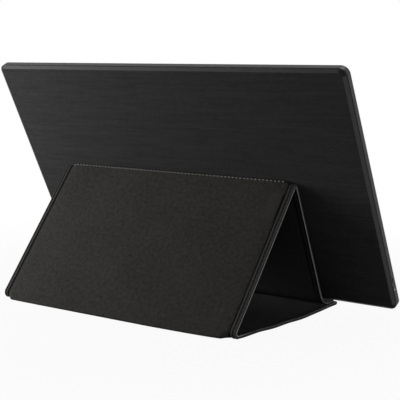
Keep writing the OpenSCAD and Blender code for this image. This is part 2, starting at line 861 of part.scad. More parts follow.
rear_cover();
front_bezel();
foam_gasket();
lcd_cell();
prism_sheet();
diffuser_sheet();
light_guide();
reflector_sheet();
light_strip();
panel_tray();
tray_screws();
glass_tapes();
driver_board();
display_cable();
controller_board();
bridge_chip();
chip_shield();
memory_chip();
board_parts();
board_screws();
usb_socket();
status_lamp();
key_board();
key_switches();
key_cable();
power_key();
menu_key();
rear_outer_fabric();
rear_stiffener();
rear_lining();
rear_binding();
grip_strip();
ledge_magnets();
apex_fold();
slope_outer_fabric();
slope_stiffener();
slope_lining();
slope_binding();
foot_fold();
sewn_tag();
base_outer_fabric();
base_stiffener();
base_lining();
base_binding();
base_magnets();
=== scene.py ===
import math

import bmesh
import bpy
from mathutils import Matrix, Vector


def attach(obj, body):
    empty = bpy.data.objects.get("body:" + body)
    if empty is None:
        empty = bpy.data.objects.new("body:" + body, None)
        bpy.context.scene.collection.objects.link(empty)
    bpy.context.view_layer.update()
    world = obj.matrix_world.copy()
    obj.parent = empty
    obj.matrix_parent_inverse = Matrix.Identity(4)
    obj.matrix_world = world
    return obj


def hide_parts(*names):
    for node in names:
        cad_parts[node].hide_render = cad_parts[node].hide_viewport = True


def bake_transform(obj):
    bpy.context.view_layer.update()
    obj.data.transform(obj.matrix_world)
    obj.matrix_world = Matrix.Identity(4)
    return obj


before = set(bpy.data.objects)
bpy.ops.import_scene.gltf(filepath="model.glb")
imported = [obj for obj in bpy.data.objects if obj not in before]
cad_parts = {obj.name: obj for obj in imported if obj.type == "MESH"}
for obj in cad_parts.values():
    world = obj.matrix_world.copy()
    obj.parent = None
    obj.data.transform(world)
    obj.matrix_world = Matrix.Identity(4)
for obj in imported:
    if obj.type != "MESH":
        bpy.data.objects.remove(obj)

scene = bpy.context.scene
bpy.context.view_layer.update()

print("camera")
cameraSettings = {
    "at": (-0.58367, 0.76286, 0.22651),
    "turnDegrees": (82.258, -0.187, -143.935),
    "lens": 95.157,
    "sensorWidth": 36.0,
    "clipStart": 0.01,
    "clipEnd": 50.0,
}


def linkObject(name, data):
    made = bpy.data.objects.new(name, data)
    scene.collection.objects.link(made)
    return made


def buildCamera():
    data = bpy.data.cameras.new("studioCamera")
    data.lens = cameraSettings["lens"]
    data.sensor_width = cameraSettings["sensorWidth"]
    data.clip_start = cameraSettings["clipStart"]
    data.clip_end = cameraSettings["clipEnd"]
    camera = linkObject("studioCamera", data)
    camera.location = cameraSettings["at"]
    camera.rotation_euler = [math.radians(turn) for turn in cameraSettings["turnDegrees"]]
    scene.camera = camera
    scene.view_settings.view_transform = "Standard"


buildCamera()
mergeGap = 1e-6  # points closer than this are one point


def feed(tree, socket, value):
    # links the socket to another one, or fills in its value
    if isinstance(value, bpy.types.NodeSocket):
        tree.links.new(value, socket)
    else:
        socket.default_value = value


def place(tree, kind, values=None, **settings):
    node = tree.nodes.new(kind)
    for name, value in settings.items():
        setattr(node, name, value)
    for name, value in (values or {}).items():
        feed(tree, node.inputs[name], value)
    return node


def addSockets(group, direction, sockets):
    for name, kind in sockets.items():
        group.interface.new_socket(name, in_out=direction, socket_type="NodeSocket" + kind)


def reshape(mesh, change, merge=True):
    # lets a function change the mesh, after points that lie together are made one
    edit = bmesh.new()
    edit.from_mesh(mesh)
    if merge:
        bmesh.ops.remove_doubles(edit, verts=edit.verts, dist=mergeGap)
    change(edit)
    edit.to_mesh(mesh)
    edit.free()
    mesh.update()


def tidyMesh(mesh, smoothAngle=35.0, merge=True, turnOut=True):
    def smoothOver(edit):
        if turnOut:
            bmesh.ops.recalc_face_normals(edit, faces=edit.faces)
        for face in edit.faces:
            face.smooth = True
        for edge in edit.edges:
            if len(edge.link_faces) == 2:
                edge.smooth = edge.calc_face_angle(0.0) < math.radians(smoothAngle)

    reshape(mesh, smoothOver, merge)


def fit(piece, slotName, body, *nodes):
    # puts the piece on the body it rides on and hides the nodes it stands for; slotName is not used
    if nodes:
        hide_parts(*nodes)
    if body:
        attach(piece, body)


def colourRamp(tree, factor, stops):
    ramp = place(tree, "ShaderNodeValToRGB", {"Fac": factor})
    elements = ramp.color_ramp.elements
    for element, (position, grey) in zip(elements, stops):
        element.position = position
        element.color = (grey, grey, grey, 1.0)
    return ramp.outputs["Color"]


def mathNode(tree, operation, first, second=0.0):
    node = place(tree, "ShaderNodeMath", operation=operation)
    for socket, value in zip(node.inputs, (first, second)):
        feed(tree, socket, value)
    return node.outputs["Value"]


def scaled(tree, value, times):
    return mathNode(tree, "MULTIPLY", value, times)


def noise(tree, vector, scale, detail, roughness=0.5):
    return place(tree, "ShaderNodeTexNoise", {
        "Vector": vector, "Scale": scale, "Detail": detail, "Roughness": roughness}).outputs["Fac"]


def startGroup(name, inputs, outputs):
    group = bpy.data.node_groups.new(name, "ShaderNodeTree")
    addSockets(group, "INPUT", {"Vector": "Vector", **{label: "Float" for label in inputs}})
    addSockets(group, "OUTPUT", {label: "Float" for label in outputs})
    return group, group.nodes.new("NodeGroupInput").outputs


def endGroup(group, results):
    out = group.nodes.new("NodeGroupOutput").inputs
    for name, value in results.items():
        group.links.new(value, out[name])
    return group


def buildGrainGroup():
    # fine moulded or pressed grain, with slow cloudy variation
    group, given = startGroup("surfaceGrain", ("Grain Scale", "Cloud Scale"), ("Height", "Cloud", "Speck"))
    cells = place(group, "ShaderNodeTexVoronoi", {"Vector": given["Vector"], "Scale": given["Grain Scale"]})
    fine = noise(group, given["Vector"], given["Grain Scale"], 4.0, roughness=0.6)
    cloud = noise(group, given["Vector"], given["Cloud Scale"], 3.0, roughness=0.55)
    height = mathNode(group, "ADD", scaled(group, cells.outputs["Distance"], 0.6), scaled(group, fine, 0.6))
    return endGroup(group, {
        "Height": height,
        "Cloud": colourRamp(group, cloud, [(0.3, 0.0), (0.7, 1.0)]),
        "Speck": colourRamp(group, fine, [(0.42, 0.0), (0.72, 1.0)])})


def buildBrushGroup():
    # straight brushing: long thin lines along the first axis
    group, given = startGroup("brushedLines", ("Line Scale", "Stretch"), ("Lines", "Bands"))
    split = place(group, "ShaderNodeSeparateXYZ", {"Vector": given["Vector"]}).outputs
    squeezed = place(group, "ShaderNodeCombineXYZ", {
        "X": scaled(group, split["X"], given["Stretch"]), "Y": split["Y"], "Z": split["Z"]}).outputs["Vector"]
    return endGroup(group, {
        "Lines": noise(group, squeezed, given["Line Scale"], 5.0, roughness=0.7),
        "Bands": noise(group, squeezed, scaled(group, given["Line Scale"], 0.12), 2.0)})


def buildWearGroup():
    # a mask of rubbed edges, broken up by noise
    group, given = startGroup("rubbedEdges", ("Patch Scale", "Amount"), ("Mask",))
    shape = place(group, "ShaderNodeNewGeometry")
    edge = colourRamp(group, shape.outputs["Pointiness"], [(0.505, 0.0), (0.56, 1.0)])
    patch = noise(group, given["Vector"], given["Patch Scale"], 4.0)
    broken = mathNode(group, "MULTIPLY", edge, colourRamp(group, patch, [(0.35, 0.2), (0.65, 1.0)]))
    return endGroup(group, {"Mask": mathNode(group, "MULTIPLY", broken, given["Amount"])})


def buildWeaveGroup():
    # plain weave seen in the cloth's own flat coordinates, in threads per metre
    group, given = startGroup("plainWeave", ("Threads",), ("Height", "Gap"))
    split = place(group, "ShaderNodeSeparateXYZ", {"Vector": given["Vector"]}).outputs
    turns = scaled(group, given["Threads"], math.pi)
    warp = mathNode(group, "SINE", mathNode(group, "MULTIPLY", split["X"], turns))
    weft = mathNode(group, "SINE", mathNode(group, "MULTIPLY", split["Y"], turns))
    ridges = mathNode(group, "MAXIMUM", mathNode(group, "ABSOLUTE", warp), mathNode(group, "ABSOLUTE", weft))
    crossing = mathNode(group, "MULTIPLY", warp, weft)
    return endGroup(group, {
        "Height": mathNode(group, "ADD", scaled(group, crossing, 0.35), ridges),
        "Gap": colourRamp(group, ridges, [(0.35, 1.0), (0.8, 0.0)])})


surfaceGrain = buildGrainGroup()
brushedLines = buildBrushGroup()
rubbedEdges = buildWearGroup()
plainWeave = buildWeaveGroup()


def shade(hexColour):
    # the finish's colour as seen on a screen, turned to linear light
    parts = [int(hexColour[i:i + 2], 16) / 255 for i in (0, 2, 4)]
    return tuple(c / 12.92 if c <= 0.04045 else ((c + 0.055) / 1.055) ** 2.4 for c in parts)


def startMaterial(name, leanDegrees=0.0, clothMap=False):
    material = bpy.data.materials.new(name)
    material.use_nodes = True
    tree = material.node_tree
    tree.nodes.clear()
    surface = place(tree, "ShaderNodeBsdfPrincipled")
    place(tree, "ShaderNodeOutputMaterial", {"Surface": surface.outputs["BSDF"]})
    if clothMap:
        return material, tree, surface, place(tree, "ShaderNodeUVMap", uv_map="clothMap").outputs["UV"]
    coordinates = place(tree, "ShaderNodeTexCoord")
    mapping = place(tree, "ShaderNodeMapping", {
        "Vector": coordinates.outputs["Object"], "Rotation": (math.radians(leanDegrees), 0.0, 0.0)})
    return material, tree, surface, mapping.outputs["Vector"]


def useGroup(tree, group, vector, values):
    return place(tree, "ShaderNodeGroup", {"Vector": vector, **values}, node_tree=group).outputs


def mixColour(tree, factor, first, second):
    mix = place(tree, "ShaderNodeMix", data_type="RGBA")
    shared, colourA, colourB = mix.inputs[0], mix.inputs[6], mix.inputs[7]  # the ones a colour mix uses
    feed(tree, shared, factor)
    for socket, colour in ((colourA, first), (colourB, second)):
        feed(tree, socket, (*colour, 1.0) if isinstance(colour, tuple) else colour)
    return mix.outputs[2]


def mixNumber(tree, factor, low, high):
    node = place(tree, "ShaderNodeMapRange", {"Value": factor, "To Min": low, "To Max": high})
    return node.outputs["Result"]


def readMark(tree, name):
    return place(tree, "ShaderNodeAttribute", attribute_name=name).outputs["Fac"]


def endMaterial(tree, surface, colour, roughness, height, bump):
    tree.links.new(colour, surface.inputs["Base Color"])
    tree.links.new(roughness, surface.inputs["Roughness"])
    relief = place(tree, "ShaderNodeBump", {"Height": height, "Distance": bump})
    tree.links.new(relief.outputs["Normal"], surface.inputs["Normal"])


def setSurface(surface, values):
    for name, value in values.items():
        surface.inputs[name].default_value = value


def mouldedFinish(name, dark, light, worn, roughness, specular, grainScale=2600.0, bump=0.00002):
    # moulded plastic, rubber, foam or board, by its settings, darkened by the seamDepth mark as painted shade
    material, tree, surface, vector = startMaterial(name)
    grain = useGroup(tree, surfaceGrain, vector, {"Grain Scale": grainScale, "Cloud Scale": 45.0})
    wear = useGroup(tree, rubbedEdges, vector, {"Patch Scale": 220.0, "Amount": 0.7})
    body = mixColour(tree, grain["Cloud"], shade(dark), shade(light))
    wearAndHighlight = mixColour(tree, wear["Mask"], body, shade(worn))
    # painted shade: the seamDepth mark darkens the finish towards near-black in seams, grooves and on the
    # cord
    colour = mixColour(tree, readMark(tree, "seamDepth"), wearAndHighlight, shade("0c0c0c"))
    setSurface(surface, {"Specular IOR Level": specular})
    endMaterial(tree, surface, colour, mixNumber(tree, grain["Speck"], roughness, roughness + 0.12),
                grain["Height"], bump)
    return material


def metalFinish(name, dark, light, roughness, leanDegrees=0.0, stretch=0.05, lineScale=1800.0):
    material, tree, surface, vector = startMaterial(name, leanDegrees)
    brush = useGroup(tree, brushedLines, vector, {"Line Scale": lineScale, "Stretch": stretch})
    wear = useGroup(tree, rubbedEdges, vector, {"Patch Scale": 300.0, "Amount": 0.5})
    body = mixColour(tree, brush["Lines"], shade(dark), shade(light))
    setSurface(surface, {"Metallic": 1.0})
    endMaterial(tree, surface, mixColour(tree, wear["Mask"], body, shade("d8d8d8")),
                mixNumber(tree, brush["Bands"], roughness, roughness + 0.15), brush["Lines"], bump=0.00001)
    return material


def clothFinish(name, dark, light, threads, bump, specular, sheen, clothMap=True, worn="5a5957"):
    # woven cloth: napped in patches, with a painted highlight on the trims' ridges and painted shade down in
    # its seams
    material, tree, surface, vector = startMaterial(name, clothMap=clothMap)
    weave = useGroup(tree, plainWeave, vector, {"Threads": threads})
    grain = useGroup(tree, surfaceGrain, vector, {"Grain Scale": 1900.0, "Cloud Scale": 22.0})
    nap = useGroup(tree, surfaceGrain, vector, {"Grain Scale": 420.0, "Cloud Scale": 300.0})
    patches = mathNode(tree, "ADD", scaled(tree, grain["Cloud"], 0.25), scaled(tree, nap["Cloud"], 0.75))
    cloth = mixColour(tree, patches, shade(dark), shade(light))
    # painted highlight: the ridge mark on the trims lightens the cloth towards the colour given as worn
    body = mixColour(tree, readMark(tree, "wearAndHighlight"), cloth, shade(worn))
    threaded = mixColour(tree, scaled(tree, weave["Gap"], 0.35), body, (0.004, 0.004, 0.004))
    # painted shade: the seamDepth mark darkens the cloth in seams and grooves
    colour = mixColour(tree, scaled(tree, readMark(tree, "seamDepth"), 0.9), threaded, (0.002, 0.002, 0.002))
    setSurface(surface, {"Specular IOR Level": specular, "Sheen Weight": sheen, "Sheen Roughness": 0.5})
    endMaterial(tree, surface, colour, mixNumber(tree, grain["Speck"], low=0.72, high=0.9),
                mathNode(tree, "ADD", weave["Height"], grain["Height"]), bump)
    return material


print("finishes")
screenLean = 26.5  # degrees back from upright


def rearShellFinish(name, dark, light, roughness, specular):
    material, tree, surface, vector = startMaterial(name, -screenLean)
    brush = useGroup(tree, brushedLines, vector, {"Line Scale": 360.0, "Stretch": 0.05})
    fine = useGroup(tree, brushedLines, vector, {"Line Scale": 2600.0, "Stretch": 0.02})
    wear = useGroup(tree, rubbedEdges, vector, {"Patch Scale": 240.0, "Amount": 0.5})
    streak = colourRamp(tree, brush["Lines"], [(0.32, 0.0), (0.68, 1.0)])
    lines = mixColour(tree, streak, shade(dark), shade(light))
    body = mixColour(tree, scaled(tree, fine["Lines"], 0.4), lines, shade(dark))
    setSurface(surface, {"Specular IOR Level": specular, "Anisotropic": 0.35})
    endMaterial(tree, surface, mixColour(tree, wear["Mask"], body, shade("5c5c5c")),
                mixNumber(tree, brush["Bands"], roughness, roughness + 0.15),
                mathNode(tree, "ADD", streak, scaled(tree, fine["Lines"], 0.6)), bump=0.00004)
    return material


def glassFinish():
    material, tree, surface, vector = startMaterial("matteScreenGlass")
    grain = useGroup(tree, surfaceGrain, vector, {"Grain Scale": 5200.0, "Cloud Scale": 9.0})
    setSurface(surface, {"Specular IOR Level": 0.2})
    endMaterial(tree, surface, mixColour(tree, grain["Cloud"], shade("060708"), shade("0b0c0e")),
                mixNumber(tree, grain["Speck"], low=0.2, high=0.27), grain["Height"], bump=0.000003)
    return material


def boardFinish():
    # green solder mask with tinned pads in rows
    material, tree, surface, vector = startMaterial("circuitBoardMask", -screenLean)
    pads = place(tree, "ShaderNodeTexVoronoi", {"Vector": vector, "Scale": 420.0, "Randomness": 0.35})
    padMask = colourRamp(tree, pads.outputs["Distance"], [(0.16, 1.0), (0.2, 0.0)])
    tracks = place(tree, "ShaderNodeTexBrick", {
        "Vector": vector, "Scale": 260.0, "Mortar Size": 0.03, "Color1": (0, 0, 0, 1), "Color2": (0, 0, 0, 1),
        "Mortar": (1, 1, 1, 1)})
    grain = useGroup(tree, surfaceGrain, vector, {"Grain Scale": 2000.0, "Cloud Scale": 60.0})
    mask = mixColour(tree, grain["Cloud"], shade("0d3b22"), shade("15502f"))
    tracked = mixColour(tree, scaled(tree, tracks.outputs["Color"], 0.5), mask, shade("2d7a4c"))
    tree.links.new(padMask, surface.inputs["Metallic"])
    endMaterial(tree, surface, mixColour(tree, padMask, tracked, shade("b9b9b0")),
                mixNumber(tree, grain["Speck"], low=0.35, high=0.5), padMask, bump=0.00002)
    return material


def lampFinish():
    material, tree, surface, vector = startMaterial("statusLampLens")
    grain = useGroup(tree, surfaceGrain, vector, {"Grain Scale": 3000.0, "Cloud Scale": 500.0})
    setSurface(surface, {"Subsurface Weight": 0.2, "Subsurface Radius": (0.0005, 0.0005, 0.0005)})
    endMaterial(tree, surface, mixColour(tree, grain["Cloud"], shade("b8babc"), shade("d8dadc")),
                mixNumber(tree, grain["Speck"], low=0.25, high=0.4), grain["Height"], bump=0.00001)
    return material


finishes = {
    "rear_shell": rearShellFinish("rearShellBrushed", "313131", "3e3e3e", roughness=0.5, specular=0.005),
    "bevel": rearShellFinish("rearShellBevel", "3a3a3c", "424245", roughness=0.45, specular=0.08),
    # a lighter copy of the bevel's finish for the side faces: painted light
    "sideBevel": rearShellFinish("rearShellSideBevelPaintedLight", "505052", "58585b", roughness=0.45, specular=0.08),
    "bezel": mouldedFinish("frameSatinMoulded", "2c2c2e", "343437", "505052", roughness=0.4, specular=0.16),
    "foam": mouldedFinish("gasketFoam", "1a1a1a", "262626", "303030", roughness=0.85, specular=0.1,
                          grainScale=900.0, bump=0.00012),
    "panel_glass": glassFinish(),
    "optical_film": mouldedFinish("frostedFilm", "cfd3d4", "e2e5e5", "f0f0f0", roughness=0.3, specular=0.5,
                                  grainScale=4000.0, bump=0.000005),
    "lamp_strip": mouldedFinish("lampStripTape", "d9c58a", "e8dcae", "efe6c6", roughness=0.35, specular=0.5),
    "sheet_steel": metalFinish("pressedSheetSteel", "8b8d8f", "b2b4b6", roughness=0.32,
                               leanDegrees=-screenLean),
    "screw_steel": metalFinish("screwZinc", "8a8a8c", "c0c0c2", roughness=0.25, stretch=0.4),
    "flat_cable": mouldedFinish("flatCableFilm", "8a5a1e", "a8732c", "caa05c", roughness=0.35, specular=0.5),
    "circuit_board": boardFinish(),
    "chip": mouldedFinish("chipResin", "121214", "1d1d20", "3a3a3c", roughness=0.5, specular=0.4,
                          grainScale=3600.0),
    "socket_steel": metalFinish("socketShellSteel", "6c6d70", "9c9da0", roughness=0.28, stretch=0.2),
    "lamp_lens": lampFinish(),
    "key_cap": mouldedFinish("keyCapSatin", "303032", "3b3b3d", "6a6a6c", roughness=0.35, specular=0.4),
    "outer_fabric": clothFinish("coverOuterSkin", "292826", "3f3e3b", threads=2300.0, bump=0.00005,
                                specular=0.03, sheen=0.01),
    "lining": clothFinish("coverLining", "2b2b2c", "373738", threads=3200.0, bump=0.00005, specular=0.03,
                          sheen=0.02, worn="444446"),
    "binding": clothFinish("edgeTrimSkin", "302f2e", "3a3937", threads=2600.0, bump=0.00003, specular=0.06,
                           sheen=0.02, clothMap=False),
    "stiffener": mouldedFinish("greyBoard", "6d665c", "857d72", "958e84", roughness=0.85, specular=0.1,
                               grainScale=1200.0, bump=0.00006),
    "grip": mouldedFinish("gripRubber", "1c1c1c", "242424", "3a3a3a", roughness=0.75, specular=0.2,
                          grainScale=2200.0, bump=0.00003),
    "magnet": metalFinish("platedMagnet", "9a9a98", "c6c6c4", roughness=0.22, stretch=0.6),
    "tag": clothFinish("tagTape", "33322f", "3d3c39", threads=2900.0, bump=0.00006, specular=0.05,
                       sheen=0.01),
}
# near-black: a painted shadow in the housing's seam
seamShadowFinish = mouldedFinish("seamShadow", "050505", "0a0a0a", "101010", roughness=0.9, specular=0.02)
# light grey: a painted highlight along the cover's cut edge
edgeHighlightFinish = mouldedFinish("cutEdgePaint", "8d8f91", "a0a2a4", "b0b2b4", roughness=0.6, specular=0.2,
                              grainScale=2400.0)
threadFinish = mouldedFinish("sewingThread", "c2c0bb", "d8d6d1", "e2e0db", roughness=0.8, specular=0.1,
                             grainScale=5200.0)
darkThreadFinish = mouldedFinish("trimThread", "302f2d", "3c3a37", "4a4844", roughness=0.8, specular=0.1,
                                 grainScale=5200.0)


def startTree(name, inputs):
    tree = bpy.data.node_groups.new(name, "GeometryNodeTree")
    addSockets(tree, "INPUT", {**inputs, "Material": "Material"})
    addSockets(tree, "OUTPUT", {"Geometry": "Geometry"})
    return tree, tree.nodes.new("NodeGroupInput").outputs


def endTree(tree, geometry, material):
    realized = place(tree, "GeometryNodeRealizeInstances", {"Geometry": geometry})
    dressed = place(tree, "GeometryNodeSetMaterial", {
        "Geometry": realized.outputs["Geometry"], "Material": material})
    tree.links.new(dressed.outputs["Geometry"], tree.nodes.new("NodeGroupOutput").inputs["Geometry"])
    return tree


def guideShape(tree, guide):
    return place(tree, "GeometryNodeObjectInfo", {"Object": guide}).outputs["Geometry"]


def buildSweepTree():
    # carries a cross-section along a path, and notes how far along each point lies
    tree, given = startTree("sweptSection", {"Path": "Object", "Section": "Object"})
    onPath = place(tree, "GeometryNodeSplineParameter").outputs
    marked = place(tree, "GeometryNodeStoreNamedAttribute", {
        "Geometry": guideShape(tree, given["Path"]), "Name": "along", "Value": onPath["Length"]},
        data_type="FLOAT", domain="POINT")
    swept = place(tree, "GeometryNodeCurveToMesh", {
        "Curve": marked.outputs["Geometry"], "Profile Curve": guideShape(tree, given["Section"]),
        "Fill Caps": True})
    return endTree(tree, swept.outputs["Mesh"], given["Material"])


def buildStitchTree():
    # one rounded thread after another along a path
    tree, given = startTree("stitchRun", {
        "Path": "Object", "Pitch": "Float", "Stitch Length": "Float", "Thread Radius": "Float",
        "Slant": "Float", "Seed": "Int"})
    spaced = place(tree, "GeometryNodeResampleCurve", {
        "Curve": guideShape(tree, given["Path"]), "Length": given["Pitch"]}, mode="LENGTH")
    tangent = place(tree, "GeometryNodeInputTangent")
    facing = place(tree, "FunctionNodeAlignEulerToVector", {"Vector": tangent.outputs["Tangent"]}, axis="X")
    jitter = place(tree, "FunctionNodeRandomValue", {
        "Min": -1.0, "Max": 1.0, "Seed": given["Seed"]}, data_type="FLOAT")
    lean = mathNode(tree, "MULTIPLY", jitter.outputs[1], given["Slant"])
    turned = place(tree, "FunctionNodeRotateEuler", {
        "Rotation": facing.outputs["Rotation"], "Angle": lean}, rotation_type="AXIS_ANGLE", space="OBJECT")
    ball = place(tree, "GeometryNodeMeshUVSphere", {"Segments": 8, "Rings": 5, "Radius": 1.0})
    size = place(tree, "ShaderNodeCombineXYZ", {
        "X": scaled(tree, given["Stitch Length"], 0.5), "Y": given["Thread Radius"],
        "Z": given["Thread Radius"]})
    thread = place(tree, "GeometryNodeTransform", {
        "Geometry": ball.outputs["Mesh"], "Scale": size.outputs["Vector"]})
    run = place(tree, "GeometryNodeInstanceOnPoints", {
        "Points": spaced.outputs["Curve"], "Instance": thread.outputs["Geometry"],
        "Rotation": turned.outputs["Rotation"]})
    return endTree(tree, run.outputs["Instances"], given["Material"])


def buildShellTree():
    # carries a wall section round a rounded rectangle
    tree, given = startTree("roundedShellRim", {
        "Width": "Float", "Height": "Float", "Corner Radius": "Float", "Section": "Object"})
    frameLine = place(tree, "GeometryNodeCurvePrimitiveQuadrilateral", {
        "Width": given["Width"], "Height": given["Height"]})
    rounded = place(tree, "GeometryNodeFilletCurve", {
        "Curve": frameLine.outputs["Curve"], "Radius": given["Corner Radius"], "Count": 10}, mode="POLY")
    swept = place(tree, "GeometryNodeCurveToMesh", {
        "Curve": rounded.outputs["Curve"], "Profile Curve": guideShape(tree, given["Section"])})
    return endTree(tree, swept.outputs["Mesh"], given["Material"])


def runTree(name, tree, values):
    # evaluates a tree once and keeps the plain mesh
    carrier = linkObject(name, bpy.data.meshes.new(name + "Seed"))
    modifier = carrier.modifiers.new("build", "NODES")
    modifier.node_group = tree
    for item in tree.interface.items_tree:
        if item.in_out == "INPUT":
            modifier[item.identifier] = values[item.name]
    bpy.context.view_layer.update()
    graph = bpy.context.evaluated_depsgraph_get()
    mesh = bpy.data.meshes.new_from_object(
        carrier.evaluated_get(graph), preserve_all_data_layers=True, depsgraph=graph)
    carrier.modifiers.remove(modifier)
    carrier.data = mesh
    mesh.name = name
    return carrier


def drawnLine(name, points, closed=False):
    curve = bpy.data.curves.new(name, "CURVE")
    curve.dimensions = "3D"
    spline = curve.splines.new("POLY")
    spline.points.add(len(points) - 1)
    for target, point in zip(spline.points, points):
        target.co = (*point, 1.0) if len(point) == 3 else (*point, 0.0, 1.0)
    spline.use_cyclic_u = closed
    return linkObject(name, curve)


def clearGuides(*guides):
    for guide in guides:
        bpy.data.objects.remove(guide)


sweptSection = buildSweepTree()
stitchRun = buildStitchTree()
roundedShellRim = buildShellTree()

print("housing")
housing = {
    "width": 0.3824,
    "height": 0.2354,
    "cornerRadius": 0.007,
    "bottomRear": (-0.0698458, 0.0058576),
    "bevelIn": 0.0032,
    "bevelDeep": 0.002,
    "seamDepth": 0.0025,
    "wall": 0.0012,
    "edgeRound": 0.0003,
    "smoothAngle": 28.0,
}


def screenMatrix():
    # from the housing's own axes, across, up and from the rear face forwards, to the frame
    lean = math.radians(screenLean)
    columns = (
        (1.0, 0.0, 0.0),
        (0.0, math.sin(lean), math.cos(lean)),
        (0.0, -math.cos(lean), math.sin(lean)),
        (0.0, *housing["bottomRear"]))
    return Matrix([[column[row] for column in columns] for row in range(3)] + [[0.0, 0.0, 0.0, 1.0]])


def housingRim(name, section, material, closed=False):
    # a wall carried round the housing's outline, lying flat about its middle
    line = drawnLine(name + "Section", section, closed)
    rim = runTree(name, roundedShellRim, {
        "Width": housing["width"], "Height": housing["height"], "Corner Radius": housing["cornerRadius"],
        "Section": line, "Material": material})
    clearGuides(line)
    return rim


def standUp(mesh):
    mesh.transform(Matrix.Translation((0.0, housing["height"] / 2, 0.0)))
    mesh.transform(screenMatrix())


def rearShellSection():
    # depth from the rear face against the outward offset, with each corner eased
    ease = housing["edgeRound"]
    inner = -housing["bevelIn"]
    deep = housing["bevelDeep"]
    seam = housing["seamDepth"]
    wall = housing["wall"]
    points = [
        (inner - ease, 0.0), (inner + ease * 0.4, ease * 0.12), (inner + ease * 1.2, ease * 0.7),
        (-ease * 1.0, deep - ease * 0.75), (-ease * 0.3, deep - ease * 0.1), (0.0, deep + ease * 0.5),
        (0.0, seam - ease), (-ease * 0.3, seam - ease * 0.3), (-ease, seam),
        (-wall, seam), (-wall, deep + wall * 0.6), (inner - wall * 0.4, wall)]
    return [(offset, -depth) for offset, depth in points]


bevelFaces = {
    "insideEdge": 0.0002,
    "flattest": 0.95,
    "steepest": 0.3,
    "cornerSlant": 0.12,
}


def paintBevel(mesh):
    # the slanted rim takes its own finishes, but not round the corners; the side faces take a lighter copy,
    # painted light
    shallow = bevelFaces["insideEdge"] - housing["bevelDeep"]
    for polygon in mesh.polygons:
        centre = polygon.center
        inset = min(housing["width"] / 2 - abs(centre.x), housing["height"] / 2 - abs(centre.y))
        across, up, back = [abs(part) for part in polygon.normal]
        slanted = bevelFaces["steepest"] < back < bevelFaces["flattest"] and shallow < -centre.z < 0.0
        if inset < housing["bevelIn"] and slanted and min(across, up) < bevelFaces["cornerSlant"]:
            # index 2 is the lighter side finish, painted light; index 1 is the top and bottom one
            polygon.material_index = 2 if across > up else 1


def closeHoles(edit):
    bmesh.ops.holes_fill(edit, edges=[edge for edge in edit.edges if edge.is_boundary], sides=0)


def buildRearShell():
    shell = housingRim("rearShell", rearShellSection(), finishes["rear_shell"])
    reshape(shell.data, closeHoles)
    shell.data.materials.append(finishes["bevel"])
    shell.data.materials.append(finishes["sideBevel"])
    paintBevel(shell.data)
    standUp(shell.data)
    tidyMesh(shell.data, housing["smoothAngle"])
    fit(shell, "rear_shell", "screen", "rear_cover")


seamBand = {
    "recess": 0.00022,
    "thick": 0.0006,
    "above": 0.0004,
    "below": 0.0007,
}


def buildSeamBand():
    # a near-black band in the recess between the rear shell and the front frame: a painted shadow
    outer = -seamBand["recess"]
    inner = outer - seamBand["thick"]
    top = seamBand["above"] - housing["seamDepth"]
    bottom = -housing["seamDepth"] - seamBand["below"]
    section = [(outer, top), (outer, bottom), (inner, bottom), (inner, top)]
    band = housingRim("seamBand", section, seamShadowFinish, closed=True)
    standUp(band.data)
    tidyMesh(band.data)
    fit(band, "foam", "screen")


buildRearShell()
buildSeamBand()

print("cover")
cover = {
    "left": 0.1408,
    "right": -0.1222,
    "board": 0.0026,
    "trimWidth": 0.0047,
    "cornerRadius": 0.003,
    "foldRadius": 0.0013,
    "apexRound": 0.0027,
    "footRound": 0.0036,
    "roundFrom": 0.004,
    "roundTo": 0.013,
    "ledgeStart": (-0.08335, 0.00405),
    "ledgeLength": 0.011887,
    "bendTurn": 66.1,
    "bendRadius": 0.014,
    "rearLength": 0.1168,
    "apexTurn": -117.4082,
    "slopeLength": 0.151,
    "footTurn": -128.6918,
    "baseLength": 0.1674,
    "aboveFloor": 0.00003,
}
halfBoard = cover["board"] / 2


def normalAt(angle):
    return Vector((-math.sin(angle), math.cos(angle)))


def wayAt(angle):
    return Vector((math.cos(angle), math.sin(angle)))


def buildCoverRoute():
    # each stretch of the cover: its flat length, and the heading and corner at which it starts
    def fold(name):
        turn = cover[name + "Turn"]
        return name, math.radians(abs(turn)) * cover["foldRadius"], turn, 0.0

    bendLength = math.radians(cover["bendTurn"]) * cover["bendRadius"]
    stretches = [
        ("ledge", cover["ledgeLength"], 0.0, None),
        ("bend", bendLength, cover["bendTurn"], cover["bendRadius"]),
        ("rear", cover["rearLength"], 0.0, None),
        fold("apex"),
        ("slope", cover["slopeLength"], 0.0, None),
        fold("foot"),
        ("base", cover["baseLength"], 0.0, None)]
    route, along, heading = [], 0.0, 0.0
    spot = Vector(cover["ledgeStart"])
    for name, length, turn, radius in stretches:
        route.append({"name": name, "start": along, "end": along + length, "heading": heading,
                      "turn": math.radians(turn), "radius": radius, "place": spot.copy()})
        if radius is None:
            spot = spot + wayAt(heading) * length
        centre = spot + normalAt(heading) * (radius or 0.0)
        heading += math.radians(turn)
        if radius:
            spot = centre - normalAt(heading) * radius
        along += length
    return route


coverRoute = buildCoverRoute()
stretch = {part["name"]: part for part in coverRoute}
coverEnd = coverRoute[-1]["end"]

lift = {
    "corner": 0.0011,
    "cornerFrom": -0.032,
    "cornerReach": 0.09,
    "cornerPower": 1.3,
    "nearShare": 0.3,
    "nearRise": (0.02, 0.06),
    "farRise": (0.05, 0.083),
    "edge": 0.0007,
    "edgeReach": 0.022,
    "edgeRise": (-0.08, 0.03),
    "leftShare": 0.4,
    "waveLength": 0.043,
    "waveMiddle": 0.55,
    "waveSwing": 0.45,
    "waveStart": 0.9,
    "fadeUp": 0.035,
    "skew": -0.003,
    "bulge": -0.004,
    "bulgeReach": 0.07,
    "bulgePower": 1.3,
}


def clipped(value):
    return min(max(value, 0.0), 1.0)


def smooth(value, low, high):
    share = clipped((value - low) / (high - low))
    return share * share * (3.0 - 2.0 * share)


